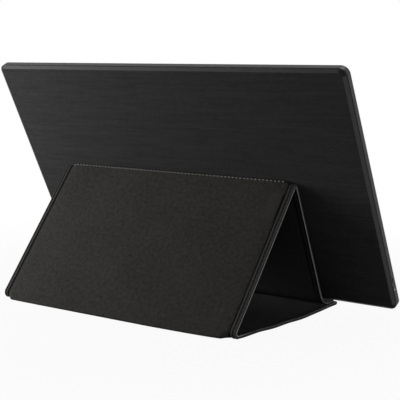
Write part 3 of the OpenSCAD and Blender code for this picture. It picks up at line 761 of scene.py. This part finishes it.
def liftOff(across, forward, height):
    # how far the soft cover stands off the table: its free back corner, and ripples along its edges
    side = clipped((lift["cornerFrom"] - across) / lift["cornerReach"]) ** lift["cornerPower"]
    near = lift["nearShare"]
    corner = lift["corner"] * side * (
        near * smooth(forward, *lift["nearRise"]) + (1.0 - near) * smooth(forward, *lift["farRise"]))
    turns = 2.0 * math.pi * forward / lift["waveLength"]
    wave = lift["waveMiddle"] + lift["waveSwing"] * math.sin(turns + lift["waveStart"])
    nearRight = math.exp(-((across - cover["right"]) / lift["edgeReach"]) ** 2)
    nearLeft = lift["leftShare"] * math.exp(-((cover["left"] - across) / lift["edgeReach"]) ** 2)
    edge = lift["edge"] * wave * (nearRight + nearLeft) * smooth(forward, *lift["edgeRise"])
    return (corner + edge) * math.exp(-(height / lift["fadeUp"]) ** 2)


def foldTurn(index):
    # the turn of a tight fold, and 0 for any other stretch
    inRoute = 0 <= index < len(coverRoute)
    return abs(coverRoute[index]["turn"]) if inRoute and coverRoute[index]["radius"] == 0.0 else 0.0


def sharpPoint(index, run, height):
    # a point over one stretch, where a fold turns tightly about its axis
    part = coverRoute[index]
    heading = part["heading"]
    length = part["end"] - part["start"]
    if part["radius"] is None:
        if height < 0:  # the two boards' inner faces meet on the mitre of a fold
            run = max(run, -height * math.tan(foldTurn(index - 1) / 2))
            run = min(run, length + height * math.tan(foldTurn(index + 1) / 2))
        return part["place"] + wayAt(heading) * run + normalAt(heading) * height
    if part["radius"]:
        centre = part["place"] + normalAt(heading) * part["radius"]
        return centre - normalAt(heading + run / part["radius"]) * (part["radius"] - height)
    if height >= 0:
        return part["place"] + normalAt(heading + part["turn"] * run / length) * height
    return part["place"] + normalAt(heading + part["turn"] / 2) * (height / math.cos(part["turn"] / 2))


def roundPoint(fold, along, height):
    # the same near the sides, where the stiff trim turns in a wider curve
    radius = cover[fold["name"] + "Round"]
    reach = radius * math.tan(abs(fold["turn"]) / 2) + (fold["end"] - fold["start"]) / 2
    offset = along - (fold["start"] + fold["end"]) / 2
    if abs(offset) >= reach:
        return None
    middle = normalAt(fold["heading"] + fold["turn"] / 2)
    centre = fold["place"] - middle * (radius / math.cos(fold["turn"] / 2))
    turned = fold["heading"] + fold["turn"] * (offset + reach) / (2 * reach)
    return centre + normalAt(turned) * (radius + height)


def sideInset(across):
    return min(across - cover["right"], cover["left"] - across)


def edgeInset(across, along):
    return min(sideInset(across), along, coverEnd - along)


def foldPoint(across, along, height):
    # turns a point of the flat cover, height above the middle of the board, to where it lies
    index = next((i for i, part in enumerate(coverRoute) if along <= part["end"]), len(coverRoute) - 1)
    point = sharpPoint(index, along - coverRoute[index]["start"], height)
    nearSide = 1.0 - smooth(sideInset(across), cover["roundFrom"], cover["roundTo"])
    if nearSide > 0.0:
        for fold in (stretch["apex"], stretch["foot"]):
            wide = roundPoint(fold, along, height)
            if wide is not None:
                point = point.lerp(wide, nearSide)
    raised = aside = 0.0
    if along > stretch["apex"]["end"]:
        raised = liftOff(across, point.x, point.y)
        share = clipped((along - stretch["base"]["start"]) / cover["baseLength"])
        beside = 1.0 - smooth(across - cover["right"], 0.0, lift["bulgeReach"])
        swell = math.sin(math.pi * share ** lift["bulgePower"]) ** 2
        aside = lift["skew"] * share + lift["bulge"] * beside * swell
    return Vector((across + aside, point.x, max(point.y, cover["aboveFloor"]) + raised))


rowStops = {
    "fine": 0.0005,
    "nearFold": 0.0095,
    "bend": 0.001,
    "bendMargin": 0.002,
    "plain": 0.004,
}
columnStops = {
    "fine": 0.0007,
    "band": 0.0135,
}
nearlyThere = 1e-7


def alongStops(start, end, step=rowStops["plain"]):
    # where the flat cover is divided, closer together near the folds
    fine, near = rowStops["fine"], rowStops["nearFold"]
    centres = [(stretch[name]["start"] + stretch[name]["end"]) / 2 for name in ("apex", "foot")]
    bendStart = stretch["bend"]["start"] - rowStops["bendMargin"]
    bendEnd = stretch["bend"]["end"] + rowStops["bendMargin"]
    stops = [start]
    while stops[-1] < end - nearlyThere:
        here = stops[-1]
        toFold = min(abs(here - centre) for centre in centres)
        stride = fine if toFold < near else min(step, max(fine, toFold - near + fine))
        if bendStart < here < bendEnd:
            stride = min(stride, rowStops["bend"])
        stops.append(min(here + stride, end))
    if len(stops) > 2 and stops[-1] - stops[-2] < fine / 2:
        stops.pop(-2)
    return stops


def acrossStops(low, high, step):
    # even columns, with finer ones beside the trim where the skin dips and the folds widen
    band = columnStops["band"]
    stops = [low]
    while stops[-1] < high - nearlyThere:
        here = stops[-1]
        nearTrim = sideInset(here) < band or cover["left"] - here - step < band
        stops.append(min(here + (columnStops["fine"] if nearTrim else step), high))
    return stops


def foldMesh(mesh):
    for vertex in mesh.vertices:
        vertex.co = foldPoint(*vertex.co)
    mesh.update()


def addMark(mesh, measure, name="seamDepth"):
    # how much painted shade or painted highlight each point takes, from 0 to 1, read by the finishes
    layer = mesh.attributes.new(name, "FLOAT", "POINT")
    for vertex, spot in zip(mesh.vertices, layer.data):
        spot.value = measure(*vertex.co)


def addClothMap(mesh):
    # the cloth's own flat coordinates, in metres
    flat = [tuple(vertex.co[:2]) for vertex in mesh.vertices]
    layer = mesh.uv_layers.new(name="clothMap")
    for loop, spot in zip(mesh.loops, layer.data):
        spot.uv = flat[loop.vertex_index]


skinCut = {
    "tuck": 0.0030,
    "outerTop": 0.00145,
    "outerUnder": 0.0006,
    "dip": 0.0008,
    "pillowReach": 0.0035,
    "liningTop": -0.0011,
    "liningUnder": -0.0007,
    "liningGap": 0.0026,
    "liningStep": 0.005,
    "seamShade": 0.0011,
    "seamShift": 0.0006,
    "smoothAngle": 40.0,
}
skinAcross = (cover["right"] + skinCut["tuck"], cover["left"] - skinCut["tuck"])
skinJoin = stretch["foot"]["start"] - 0.009  # where the two outer skins meet, short of the foot


# painted shade in the skin's dip beside the trim, as a mark from 0 to 1
def paintedShadeBesideTrim(across, along, height):
    past = edgeInset(across, along) - cover["trimWidth"] - skinCut["seamShift"]
    return math.exp(-(past / skinCut["seamShade"]) ** 2)


def sheetPiece(name, acrossRange, alongRange, heights, material, puff=None, step=rowStops["plain"]):
    # a thin closed sheet between two heights over a stretch of the flat cover
    low, high = heights
    puffSide = high if abs(high) > abs(low) else low
    across = acrossStops(*acrossRange, step)
    along = alongStops(*alongRange, step)
    columns, rows = range(len(across) - 1), range(len(along) - 1)
    edit = bmesh.new()

    def layer(height):
        raised = puff if puff and height == puffSide else lambda x, s: 0.0
        return [[edit.verts.new((x, s, height + raised(x, s))) for s in along] for x in across]

    upper, lower = layer(high), layer(low)
    for i in columns:
        for j in rows:
            edit.faces.new((upper[i][j], upper[i + 1][j], upper[i + 1][j + 1], upper[i][j + 1]))
            edit.faces.new((lower[i][j], lower[i][j + 1], lower[i + 1][j + 1], lower[i + 1][j]))
    for end in (0, -1):
        for j in rows:
            edit.faces.new((upper[end][j], upper[end][j + 1], lower[end][j + 1], lower[end][j]))
        for i in columns:
            edit.faces.new((upper[i][end], upper[i + 1][end], lower[i + 1][end], lower[i][end]))
    mesh = bpy.data.meshes.new(name)
    edit.to_mesh(mesh)
    edit.free()
    addClothMap(mesh)
    addMark(mesh, paintedShadeBesideTrim)
    foldMesh(mesh)
    mesh.materials.append(material)
    tidyMesh(mesh, skinCut["smoothAngle"], merge=False)
    return linkObject(name, mesh)


def blendOver(piece):
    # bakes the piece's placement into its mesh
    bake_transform(piece)


def onFirstHinge(piece):
    blendOver(piece)


def onSecondHinge(piece):
    blendOver(piece)


unevenness = {
    "height": 0.00006,
    "acrossWave": (71.0, 1.3),
    "alongWave": (53.0, 0.4),
    "fineAcross": 173.0,
    "fineAlong": -59.0,
    "fineShare": 0.35,
    "fadeIn": 0.02,
}
slack = {
    "depth": 0.00022,
    "least": 1.6,
    "crease": (61.0, 96.0, 0.0),
    "fineCrease": (151.0, -74.0, 2.0),
    "fineShare": 0.6,
    "fadeIn": 0.012,
}


def softFolds(across, along):
    # slow shallow unevenness of the glued skin, and its dip beside the trim
    wave = math.prod(math.sin(value * rate + shift) for value, (rate, shift) in (
        (across, unevenness["acrossWave"]), (along, unevenness["alongWave"])))
    fine = math.sin(across * unevenness["fineAcross"] + along * unevenness["fineAlong"])
    inset = sideInset(across)
    pillow = -skinCut["dip"] * math.exp(-max(inset - cover["trimWidth"], 0.0) / skinCut["pillowReach"])
    rough = unevenness["height"] * (wave + unevenness["fineShare"] * fine)
    return rough * clipped(inset / unevenness["fadeIn"]) + pillow


def liningFolds(across, along):
    # faint slack in the lining, which isn't glued flat
    broad, fine = [math.sin(across * a + along * b + shift) for a, b, shift in (
        slack["crease"], slack["fineCrease"])]
    shown = smooth(sideInset(across), cover["trimWidth"], cover["trimWidth"] + slack["fadeIn"])
    return -slack["depth"] * (slack["least"] + broad + slack["fineShare"] * fine) * shown


def buildOuterSkin():
    heights = (skinCut["outerUnder"], skinCut["outerTop"])
    spans = {"Upper": (skinCut["tuck"], skinJoin), "Lower": (skinJoin, coverEnd - skinCut["tuck"])}
    upper, lower = [sheetPiece("outerSkin" + end, skinAcross, span, heights, finishes["outer_fabric"],
                               softFolds) for end, span in spans.items()]
    onFirstHinge(upper)
    fit(upper, "outer_fabric", None, "rear_outer_fabric", "slope_outer_fabric", "apex_fold")
    onSecondHinge(lower)
    fit(lower, "outer_fabric", None, "foot_fold", "base_outer_fabric")
    return upper, lower


boardCut = {
    "inset": 0.0005,
    "half": 0.00055,
    "setback": 0.0033,
    "step": 0.006,
}


def panelSpans(gap, edge):
    # each panel's stretch of the flat cover, a gap short of its folds and an edge short of its free end
    return {
        "rear": ("cover_back", (edge, stretch["rear"]["end"] - gap)),
        "slope": ("cover_slope", (stretch["slope"]["start"] + gap, stretch["slope"]["end"] - gap)),
        "base": ("cover_base", (stretch["base"]["start"] + gap, coverEnd - edge))}


def buildPanels(ending, slotName, spans, across, heights, step, puffs):
    # one sheet to a panel, fitted where the CAD's own sheet of that name lies
    made = []
    for panel, (body, span) in spans.items():
        piece = sheetPiece(panel + ending, across, span, heights, finishes[slotName], puffs.get(panel), step)
        fit(piece, slotName, body, panel + "_" + slotName)
        made.append(piece)
    return made


def buildBoards():
    # the stiff grey boards between the skins
    across = (cover["right"] + boardCut["inset"], cover["left"] - boardCut["inset"])
    spans = panelSpans(boardCut["setback"], boardCut["inset"])
    return buildPanels("Board", "stiffener", spans, across, (-boardCut["half"], boardCut["half"]),
                       boardCut["step"], {})


def buildLinings():
    spans = panelSpans(skinCut["liningGap"], skinCut["tuck"])
    return buildPanels("Liner", "lining", spans, skinAcross, (skinCut["liningTop"], skinCut["liningUnder"]),
                       skinCut["liningStep"], {"slope": liningFolds, "base": liningFolds})


boards = buildBoards()
outerUpper, outerLower = buildOuterSkin()
rearLiner, slopeLiner, baseLiner = buildLinings()

print("trim and stitches")
trim = {
    "proud": 0.0002,
    "innerDrop": 0.00002,
    "groove": 0.0005,
    "grooveAt": 0.0019,
    "grooveHalf": 0.0003,
    "edgeBead": 0.00042,
    "beadDrop": 0.00095,
    "beadSides": 10,
    "cornerStops": 7,
    "crossStops": 24,
    "leastRadius": 0.0004,
    "smoothAngle": 50.0,
}
# where painted highlights and painted shade are laid on the trims and the cord
paintedLightAndShade = {
    "cornerFrom": 0.00005,
    "cornerTo": 0.00035,
    "cornerBelow": 0.0004,
    "corner": 0.85,
    "ridgeInset": 0.0006,
    "ridgeHalf": 0.0001,
    # the ridge's painted highlight is stronger on the left, where the lamps stand
    "ridgeLeft": 0.7,
    "ridgeRight": 0.2,
    "cord": 0.75,
    "baseFrom": 0.004,
    "baseTo": 0.03,
    "ledgeFrom": 0.003,
    "grooveShare": 1.05,
    "rimInset": 0.00005,
    "rimBelow": 0.0002,
}


def trimSection(side):
    # distance in from the edge against height above the middle of the board
    top = halfBoard + trim["proud"] if side > 0 else halfBoard - trim["innerDrop"]
    dip = top - trim["groove"]
    at = trim["grooveAt"]
    broad = trim["grooveHalf"]
    wide = cover["trimWidth"]
    outerEdge = [
        (0.0002, 0.0), (0.0, 0.0004), (0.00006, top - 0.0005), (0.00026, top - 0.00018), (0.0006, top)]
    channel = [
        (0.001, top - 0.00002), (at - broad * 1.6, top - 0.00016), (at - broad, dip), (at + broad, dip),
        (at + broad * 1.6, top - 0.00016), (at + broad * 2.6, top - 0.00002)]
    innerEdge = [
        (wide - 0.0011, top), (wide - 0.0006, top - 0.00006), (wide - 0.0002, top - 0.0003),
        (wide, top - 0.0008), (wide - 0.0001, 0.0)]
    return [(inset, -height * side) for inset, height in outerEdge + channel + innerEdge]


# painted shade in the trim's groove and along its inner rim
def paintedGrooveShade(across, along, height):
    inset = edgeInset(across, along)
    deep = abs(inset - trim["grooveAt"]) < trim["grooveHalf"] * paintedLightAndShade["grooveShare"]
    rim = inset > cover["trimWidth"] - paintedLightAndShade["rimInset"] and abs(height) < halfBoard - paintedLightAndShade["rimBelow"]
    return 1.0 if deep or rim else 0.0


def paintedTrimHighlight(across, along, height):
    # painted highlight on the trim: its outer corner and the ridge beside the skin, stronger on the left,
    # towards the lamps
    inset = edgeInset(across, along)
    if paintedLightAndShade["cornerFrom"] < inset < paintedLightAndShade["cornerTo"] and height > halfBoard - paintedLightAndShade["cornerBelow"]:
        return paintedLightAndShade["corner"]
    fromRidge = abs(inset - cover["trimWidth"] + paintedLightAndShade["ridgeInset"])
    if fromRidge < paintedLightAndShade["ridgeHalf"] and height > halfBoard:
        return paintedLightAndShade["ridgeLeft"] if across > 0.0 else paintedLightAndShade["ridgeRight"]
    return 0.0


def paintedCordShade(across, along, height):
    # painted shade over the cord's painted highlight along the base panel and at the ledge's end
    baseStart = stretch["base"]["start"]
    onBase = smooth(along, baseStart + paintedLightAndShade["baseFrom"], baseStart + paintedLightAndShade["baseTo"])
    onLedge = 1.0 - smooth(along, paintedLightAndShade["ledgeFrom"], stretch["ledge"]["end"])
    return paintedLightAndShade["cord"] * max(onBase, onLedge)


def beadSection():
    # a fine rolled cord, on the lining's side of the cut edge, light grey as a painted highlight
    radius = trim["edgeBead"]
    angles = [2 * math.pi * i / trim["beadSides"] for i in range(trim["beadSides"])]
    return [(radius * (0.3 + math.cos(a)), trim["beadDrop"] + radius * math.sin(a)) for a in angles]


def sideRun(start, end, inset):
    # a line round three sides of the flat cover, down one side and up the other, inset from its edge
    left, right = cover["left"] - inset, cover["right"] + inset
    radius = max(cover["cornerRadius"] - inset, trim["leastRadius"])
    if start < end:  # round the far end of the base panel, starting on the right
        side, tip, way = right, coverEnd - inset, 1.0
        stops = alongStops(start, tip - radius)
    else:  # round the ledge's front edge, starting on the left
        side, tip, way = left, inset, -1.0
        stops = reversed(alongStops(tip + radius, start))
    rise = [(side, s) for s in stops]
    for i in range(trim["cornerStops"]):
        angle = math.pi / 2 * (i + 1) / trim["cornerStops"]
        rise.append((side + way * radius * (1 - math.cos(angle)), tip - way * radius * (1 - math.sin(angle))))
    first = rise[-1][0]
    middle = (left + right) / 2
    steps = trim["crossStops"]
    cross = [(first + 2 * (middle - first) * i / steps, tip) for i in range(1, steps)]
    return rise + cross + [(2 * middle - x, s) for x, s in reversed(rise)]


def sweptPiece(name, path, section, material, depth=None, wearAndHighlight=None):
    # a section carried along a line of the flat cover, marked for its finish and folded up
    pathLine = drawnLine(name + "Path", path)
    sectionLine = drawnLine(name + "Section", section, closed=True)
    piece = runTree(name, sweptSection, {"Path": pathLine, "Section": sectionLine, "Material": material})
    clearGuides(pathLine, sectionLine)
    # depth carries painted shade, the other mark a painted highlight
    for measure, mark in ((depth, "seamDepth"), (wearAndHighlight, "wearAndHighlight")):
        if measure:
            addMark(piece.data, measure, mark)
    foldMesh(piece.data)
    tidyMesh(piece.data, trim["smoothAngle"])
    return piece


innerEndGap = 0.0003  # between a panel's inner trim and its fold


def buildTrims():
    paths = {"Upper": sideRun(skinJoin, 0.0, 0.0), "Lower": sideRun(skinJoin, coverEnd, 0.0)}
    outer = [sweptPiece("edgeTrim" + end, path, trimSection(1), finishes["binding"], paintedGrooveShade,
                        paintedTrimHighlight) for end, path in paths.items()]
    slopeStops = alongStops(stretch["slope"]["start"] + innerEndGap, stretch["slope"]["end"] - innerEndGap)
    innerPaths = {
        "Rear": sideRun(stretch["rear"]["end"] - innerEndGap, 0.0, 0.0),
        "Base": sideRun(stretch["base"]["start"] + innerEndGap, coverEnd, 0.0),
        "SlopeLeft": [(cover["left"], s) for s in reversed(slopeStops)],
        "SlopeRight": [(cover["right"], s) for s in slopeStops]}
    inner = [sweptPiece("innerTrim" + panel, path, trimSection(-1), finishes["lining"], paintedGrooveShade)
             for panel, path in innerPaths.items()]
    fit(inner[0], "binding", "cover_back", "rear_binding")
    fit(inner[1], "binding", "cover_base", "base_binding")
    fit(inner[2], "binding", "cover_slope", "slope_binding")
    fit(inner[3], "binding", "cover_slope")
    beads = [sweptPiece("cutEdge" + end, path, beadSection(), edgeHighlightFinish, paintedCordShade)
             for end, path in paths.items()]
    for upper, lower in (outer, beads):
        onFirstHinge(upper)
        onSecondHinge(lower)
        fit(upper, "binding", None)
        fit(lower, "binding", None)
    return outer, inner, beads


trims, innerTrims, edgeBeads = buildTrims()

stitching = {
    "pitch": 0.0040,
    "length": 0.0014,
    "thread": 0.0003,
    "slant": 0.06,
    "smoothAngle": 80.0,
    "belowApex": 0.0004,
    "fromLeft": 0.0085,
    "fromRight": 0.0125,
    "onSkin": 0.00008,
    "inGroove": 0.0001,
    "joinGap": 0.002,
}
tagStitching = {
    "pitch": 0.0016,
    "length": 0.0012,
    "thread": 0.00012,
    "slant": 0.06,
    "onTag": 0.00005,
    "inset": 0.0012,
}


def stitchPiece(name, path, height, material, sizes, seed):
    line = drawnLine(name + "Line", [(x, s, height) for x, s in path])
    piece = runTree(name, stitchRun, {
        "Path": line, "Pitch": sizes["pitch"], "Stitch Length": sizes["length"],
        "Thread Radius": sizes["thread"], "Slant": sizes["slant"], "Seed": seed, "Material": material})
    clearGuides(line)
    foldMesh(piece.data)
    tidyMesh(piece.data, stitching["smoothAngle"], turnOut=False)
    return piece


def buildStitches():
    top = skinCut["outerTop"] + stitching["onSkin"]
    grooveHeight = halfBoard + trim["proud"] - trim["groove"] + stitching["inGroove"]
    apexLine = stretch["slope"]["start"] + stitching["belowApex"]
    ends = (cover["left"] - stitching["fromLeft"], cover["right"] + stitching["fromRight"])
    path = [(x, apexLine) for x in ends]
    apex = stitchPiece("apexStitches", path, top, threadFinish, stitching, seed=3)
    fit(apex, "outer_fabric", None)
    upperPath = sideRun(skinJoin - stitching["joinGap"], 0.0, trim["grooveAt"])
    lowerPath = sideRun(skinJoin + stitching["joinGap"], coverEnd, trim["grooveAt"])
    upper = stitchPiece("trimStitchesUpper", upperPath, grooveHeight, darkThreadFinish, stitching, seed=5)
    lower = stitchPiece("trimStitchesLower", lowerPath, grooveHeight, darkThreadFinish, stitching, seed=7)
    onFirstHinge(apex)
    onFirstHinge(upper)
    onSecondHinge(lower)
    for piece in (upper, lower):
        fit(piece, "binding", None)
    return apex, upper, lower


apexStitches, trimStitchesUpper, trimStitchesLower = buildStitches()

print("tag and grip")
tag = {
    "wide": 0.013,
    "long": 0.027,
    "fromRight": 0.007,
    "belowApex": 0.012,
    "thick": 0.0004,
    "step": 0.0015,
}


def buildTag():
    low = cover["right"] + tag["fromRight"]
    start = stretch["slope"]["start"] + tag["belowApex"]
    top = skinCut["outerTop"] + tag["thick"]
    piece = sheetPiece("tagPatch", (low, low + tag["wide"]), (start, start + tag["long"]),
                       (skinCut["outerUnder"], top), finishes["tag"], softFolds, tag["step"])
    fit(piece, "tag", "cover_slope", "sewn_tag")
    near, far = low + tagStitching["inset"], low + tag["wide"] - tagStitching["inset"]
    above, below = start + tagStitching["inset"], start + tag["long"] - tagStitching["inset"]
    box = [(near, above), (far, above), (far, below), (near, below), (near, above)]
    sewing = stitchPiece("tagStitches", box, top + tagStitching["onTag"], darkThreadFinish, tagStitching,
                         seed=11)
    fit(sewing, "tag", "cover_slope")
    return piece, sewing


grip = {
    "start": 0.00389,
    "wide": 0.008,
    "thick": 0.0012,
    "ribs": 5,
    "ribDeep": 0.0005,
    "ribEased": 0.00005,
    "shoulder": 0.0006,
    "sideInset": 0.009,
    "lengthStops": 20,
}


def gripSection():
    # a flat strip whose top is cut into ribs
    base = halfBoard
    top = base + grip["thick"]
    foot, eased = top - grip["ribDeep"], top - grip["ribEased"]
    pitch = grip["wide"] / grip["ribs"]
    shoulder = top - grip["shoulder"]
    rib = ((0.08, foot), (0.24, eased), (0.5, top), (0.76, eased), (0.92, foot))
    shape = [(0.0, base), (0.0, shoulder)]
    shape += [(pitch * (i + share), height) for i in range(grip["ribs"]) for share, height in rib]
    shape += [(grip["wide"], shoulder), (grip["wide"], base)]
    return [(inset, -height) for inset, height in shape]


def buildGrip():
    low, high = cover["right"] + grip["sideInset"], cover["left"] - grip["sideInset"]
    steps = grip["lengthStops"]
    path = [(low + (high - low) * i / steps, grip["start"] + grip["wide"]) for i in range(steps + 1)]
    piece = sweptPiece("gripRibs", path, gripSection(), finishes["grip"])
    fit(piece, "grip", "cover_back", "grip_strip")


tagPatch, tagStitches = buildTag()
buildGrip()

print("front frame and finishes of the CAD nodes")
easing = {
    "front_bezel": ("frontFrame", 0.0003, "screen", "bezel"),
    "power_key": ("powerKeyCap", 0.00025, "power_key", "key_cap"),
    "menu_key": ("menuKeyCap", 0.00025, "menu_key", "key_cap"),
    "usb_socket": ("dataSocketShell", 0.00012, "screen", "socket_steel"),
}
easedEdge = {
    "segments": 2,
    "sharperThan": 38.0,
    "flatWithin": 1.0,
}


def joinFlatFaces(edit):
    within = math.radians(easedEdge["flatWithin"])
    bmesh.ops.dissolve_limit(edit, angle_limit=within, verts=edit.verts, edges=edit.edges)


def easedCopy(node, name, width):
    # a merged copy of a CAD node whose edges are eased, so they catch the light
    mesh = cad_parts[node].data.copy()
    reshape(mesh, joinFlatFaces)
    piece = linkObject(name, mesh)
    bevel = piece.modifiers.new("ease", "BEVEL")
    bevel.width = width
    bevel.segments = easedEdge["segments"]
    bevel.limit_method = "ANGLE"
    bevel.angle_limit = math.radians(easedEdge["sharperThan"])
    bevel.use_clamp_overlap = True
    for polygon in mesh.polygons:
        polygon.use_smooth = False
    return piece


for node, (name, width, body, slotName) in easing.items():
    copy = easedCopy(node, name, width)
    copy.data.materials.clear()
    copy.data.materials.append(finishes[slotName])
    fit(copy, slotName, body, node)

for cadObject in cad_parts.values():
    for holder in cadObject.material_slots:
        slotName = holder.material.name.split(".")[0]
        if slotName in finishes:
            holder.link = "OBJECT"
            holder.material = finishes[slotName]

print("stage and lights")
stage = {
    "floorHalf": 3.0,
    "floorShade": "ababab",
    "nearWhite": 0.94,
    "whiteFrom": 0.22,
    "whiteTo": 0.55,
    "fill": 0.13,
}
plainWhite = (1.0, 1.0, 1.0, 1.0)


def whiteRays(tree):
    # 1 for the rays that see the background: straight from the camera, mirrored or through glass
    rays = place(tree, "ShaderNodeLightPath").outputs
    seen = mathNode(tree, "MAXIMUM", rays["Is Camera Ray"], rays["Is Glossy Ray"])
    return mathNode(tree, "MAXIMUM", seen, rays["Is Transmission Ray"])


def mixShaders(tree, share, first, second):
    mixed = place(tree, "ShaderNodeMixShader", {"Fac": share})
    tree.links.new(first, mixed.inputs[1])
    tree.links.new(second, mixed.inputs[2])
    return mixed.outputs["Shader"]


def buildFloor():
    material = bpy.data.materials.new("studioFloor")
    material.use_nodes = True
    tree = material.node_tree
    tree.nodes.clear()
    paper = place(tree, "ShaderNodeBsdfDiffuse", {"Color": (*shade(stage["floorShade"]), 1.0)})
    white = place(tree, "ShaderNodeEmission", {"Color": plainWhite, "Strength": 1.0})
    distance = place(tree, "ShaderNodeVectorMath", operation="LENGTH")
    tree.links.new(place(tree, "ShaderNodeTexCoord").outputs["Object"], distance.inputs[0])
    growing = place(tree, "ShaderNodeMapRange", {
        "Value": distance.outputs["Value"], "From Min": stage["whiteFrom"], "From Max": stage["whiteTo"],
        "To Min": stage["nearWhite"], "To Max": 1.0})
    share = mathNode(tree, "MULTIPLY", whiteRays(tree), growing.outputs["Result"])
    place(tree, "ShaderNodeOutputMaterial", {
        "Surface": mixShaders(tree, share, paper.outputs["BSDF"], white.outputs["Emission"])})
    half = stage["floorHalf"]
    mesh = bpy.data.meshes.new("studioFloor")
    corners = [(-half, -half, 0.0), (half, -half, 0.0), (half, half, 0.0), (-half, half, 0.0)]
    mesh.from_pydata(corners, [], [(0, 1, 2, 3)])
    mesh.materials.append(material)
    linkObject("studioFloor", mesh)


def buildWorld():
    world = bpy.data.worlds.new("studioWorld")
    world.use_nodes = True
    tree = world.node_tree
    tree.nodes.clear()
    fill, white = [place(tree, "ShaderNodeBackground", {"Color": plainWhite, "Strength": strength})
                   for strength in (stage["fill"], 1.0)]
    place(tree, "ShaderNodeOutputWorld", {"Surface": mixShaders(
        tree, whiteRays(tree), fill.outputs["Background"], white.outputs["Background"])})
    scene.world = world


lamps = {
    "keyLamp": {"at": (0.42, 0.30, 0.26), "towards": (0.06, 0.0, 0.08), "size": 0.2, "watts": 1.18},
    "sideLamp": {"at": (0.95, 0.30, 0.22), "towards": (0.1, 0.0, 0.1), "size": 0.3, "watts": 7.1},
    "frontLamp": {"at": (-0.1, -1.1, 0.9), "towards": (0.0, 0.0, 0.1), "size": 0.9, "watts": 4.0},
    "farLamp": {"at": (-1.2, 0.15, 0.3), "towards": (0.0, 0.0, 0.1), "size": 0.4, "watts": 2.3},
    "topLamp": {"at": (-0.2, -0.1, 0.55), "towards": (-0.1, 0.0, 0.2), "size": 0.15, "watts": 0.6},
}


def buildLamps():
    for name, facts in lamps.items():
        data = bpy.data.lights.new(name, "AREA")
        data.size = facts["size"]
        data.energy = facts["watts"]
        lamp = linkObject(name, data)
        lamp.location = facts["at"]
        aim = Vector(facts["towards"]) - Vector(facts["at"])
        lamp.rotation_euler = aim.to_track_quat("-Z", "Y").to_euler()
        lamp.visible_camera = False


buildFloor()
buildWorld()
buildLamps()

bpy.context.view_layer.update()
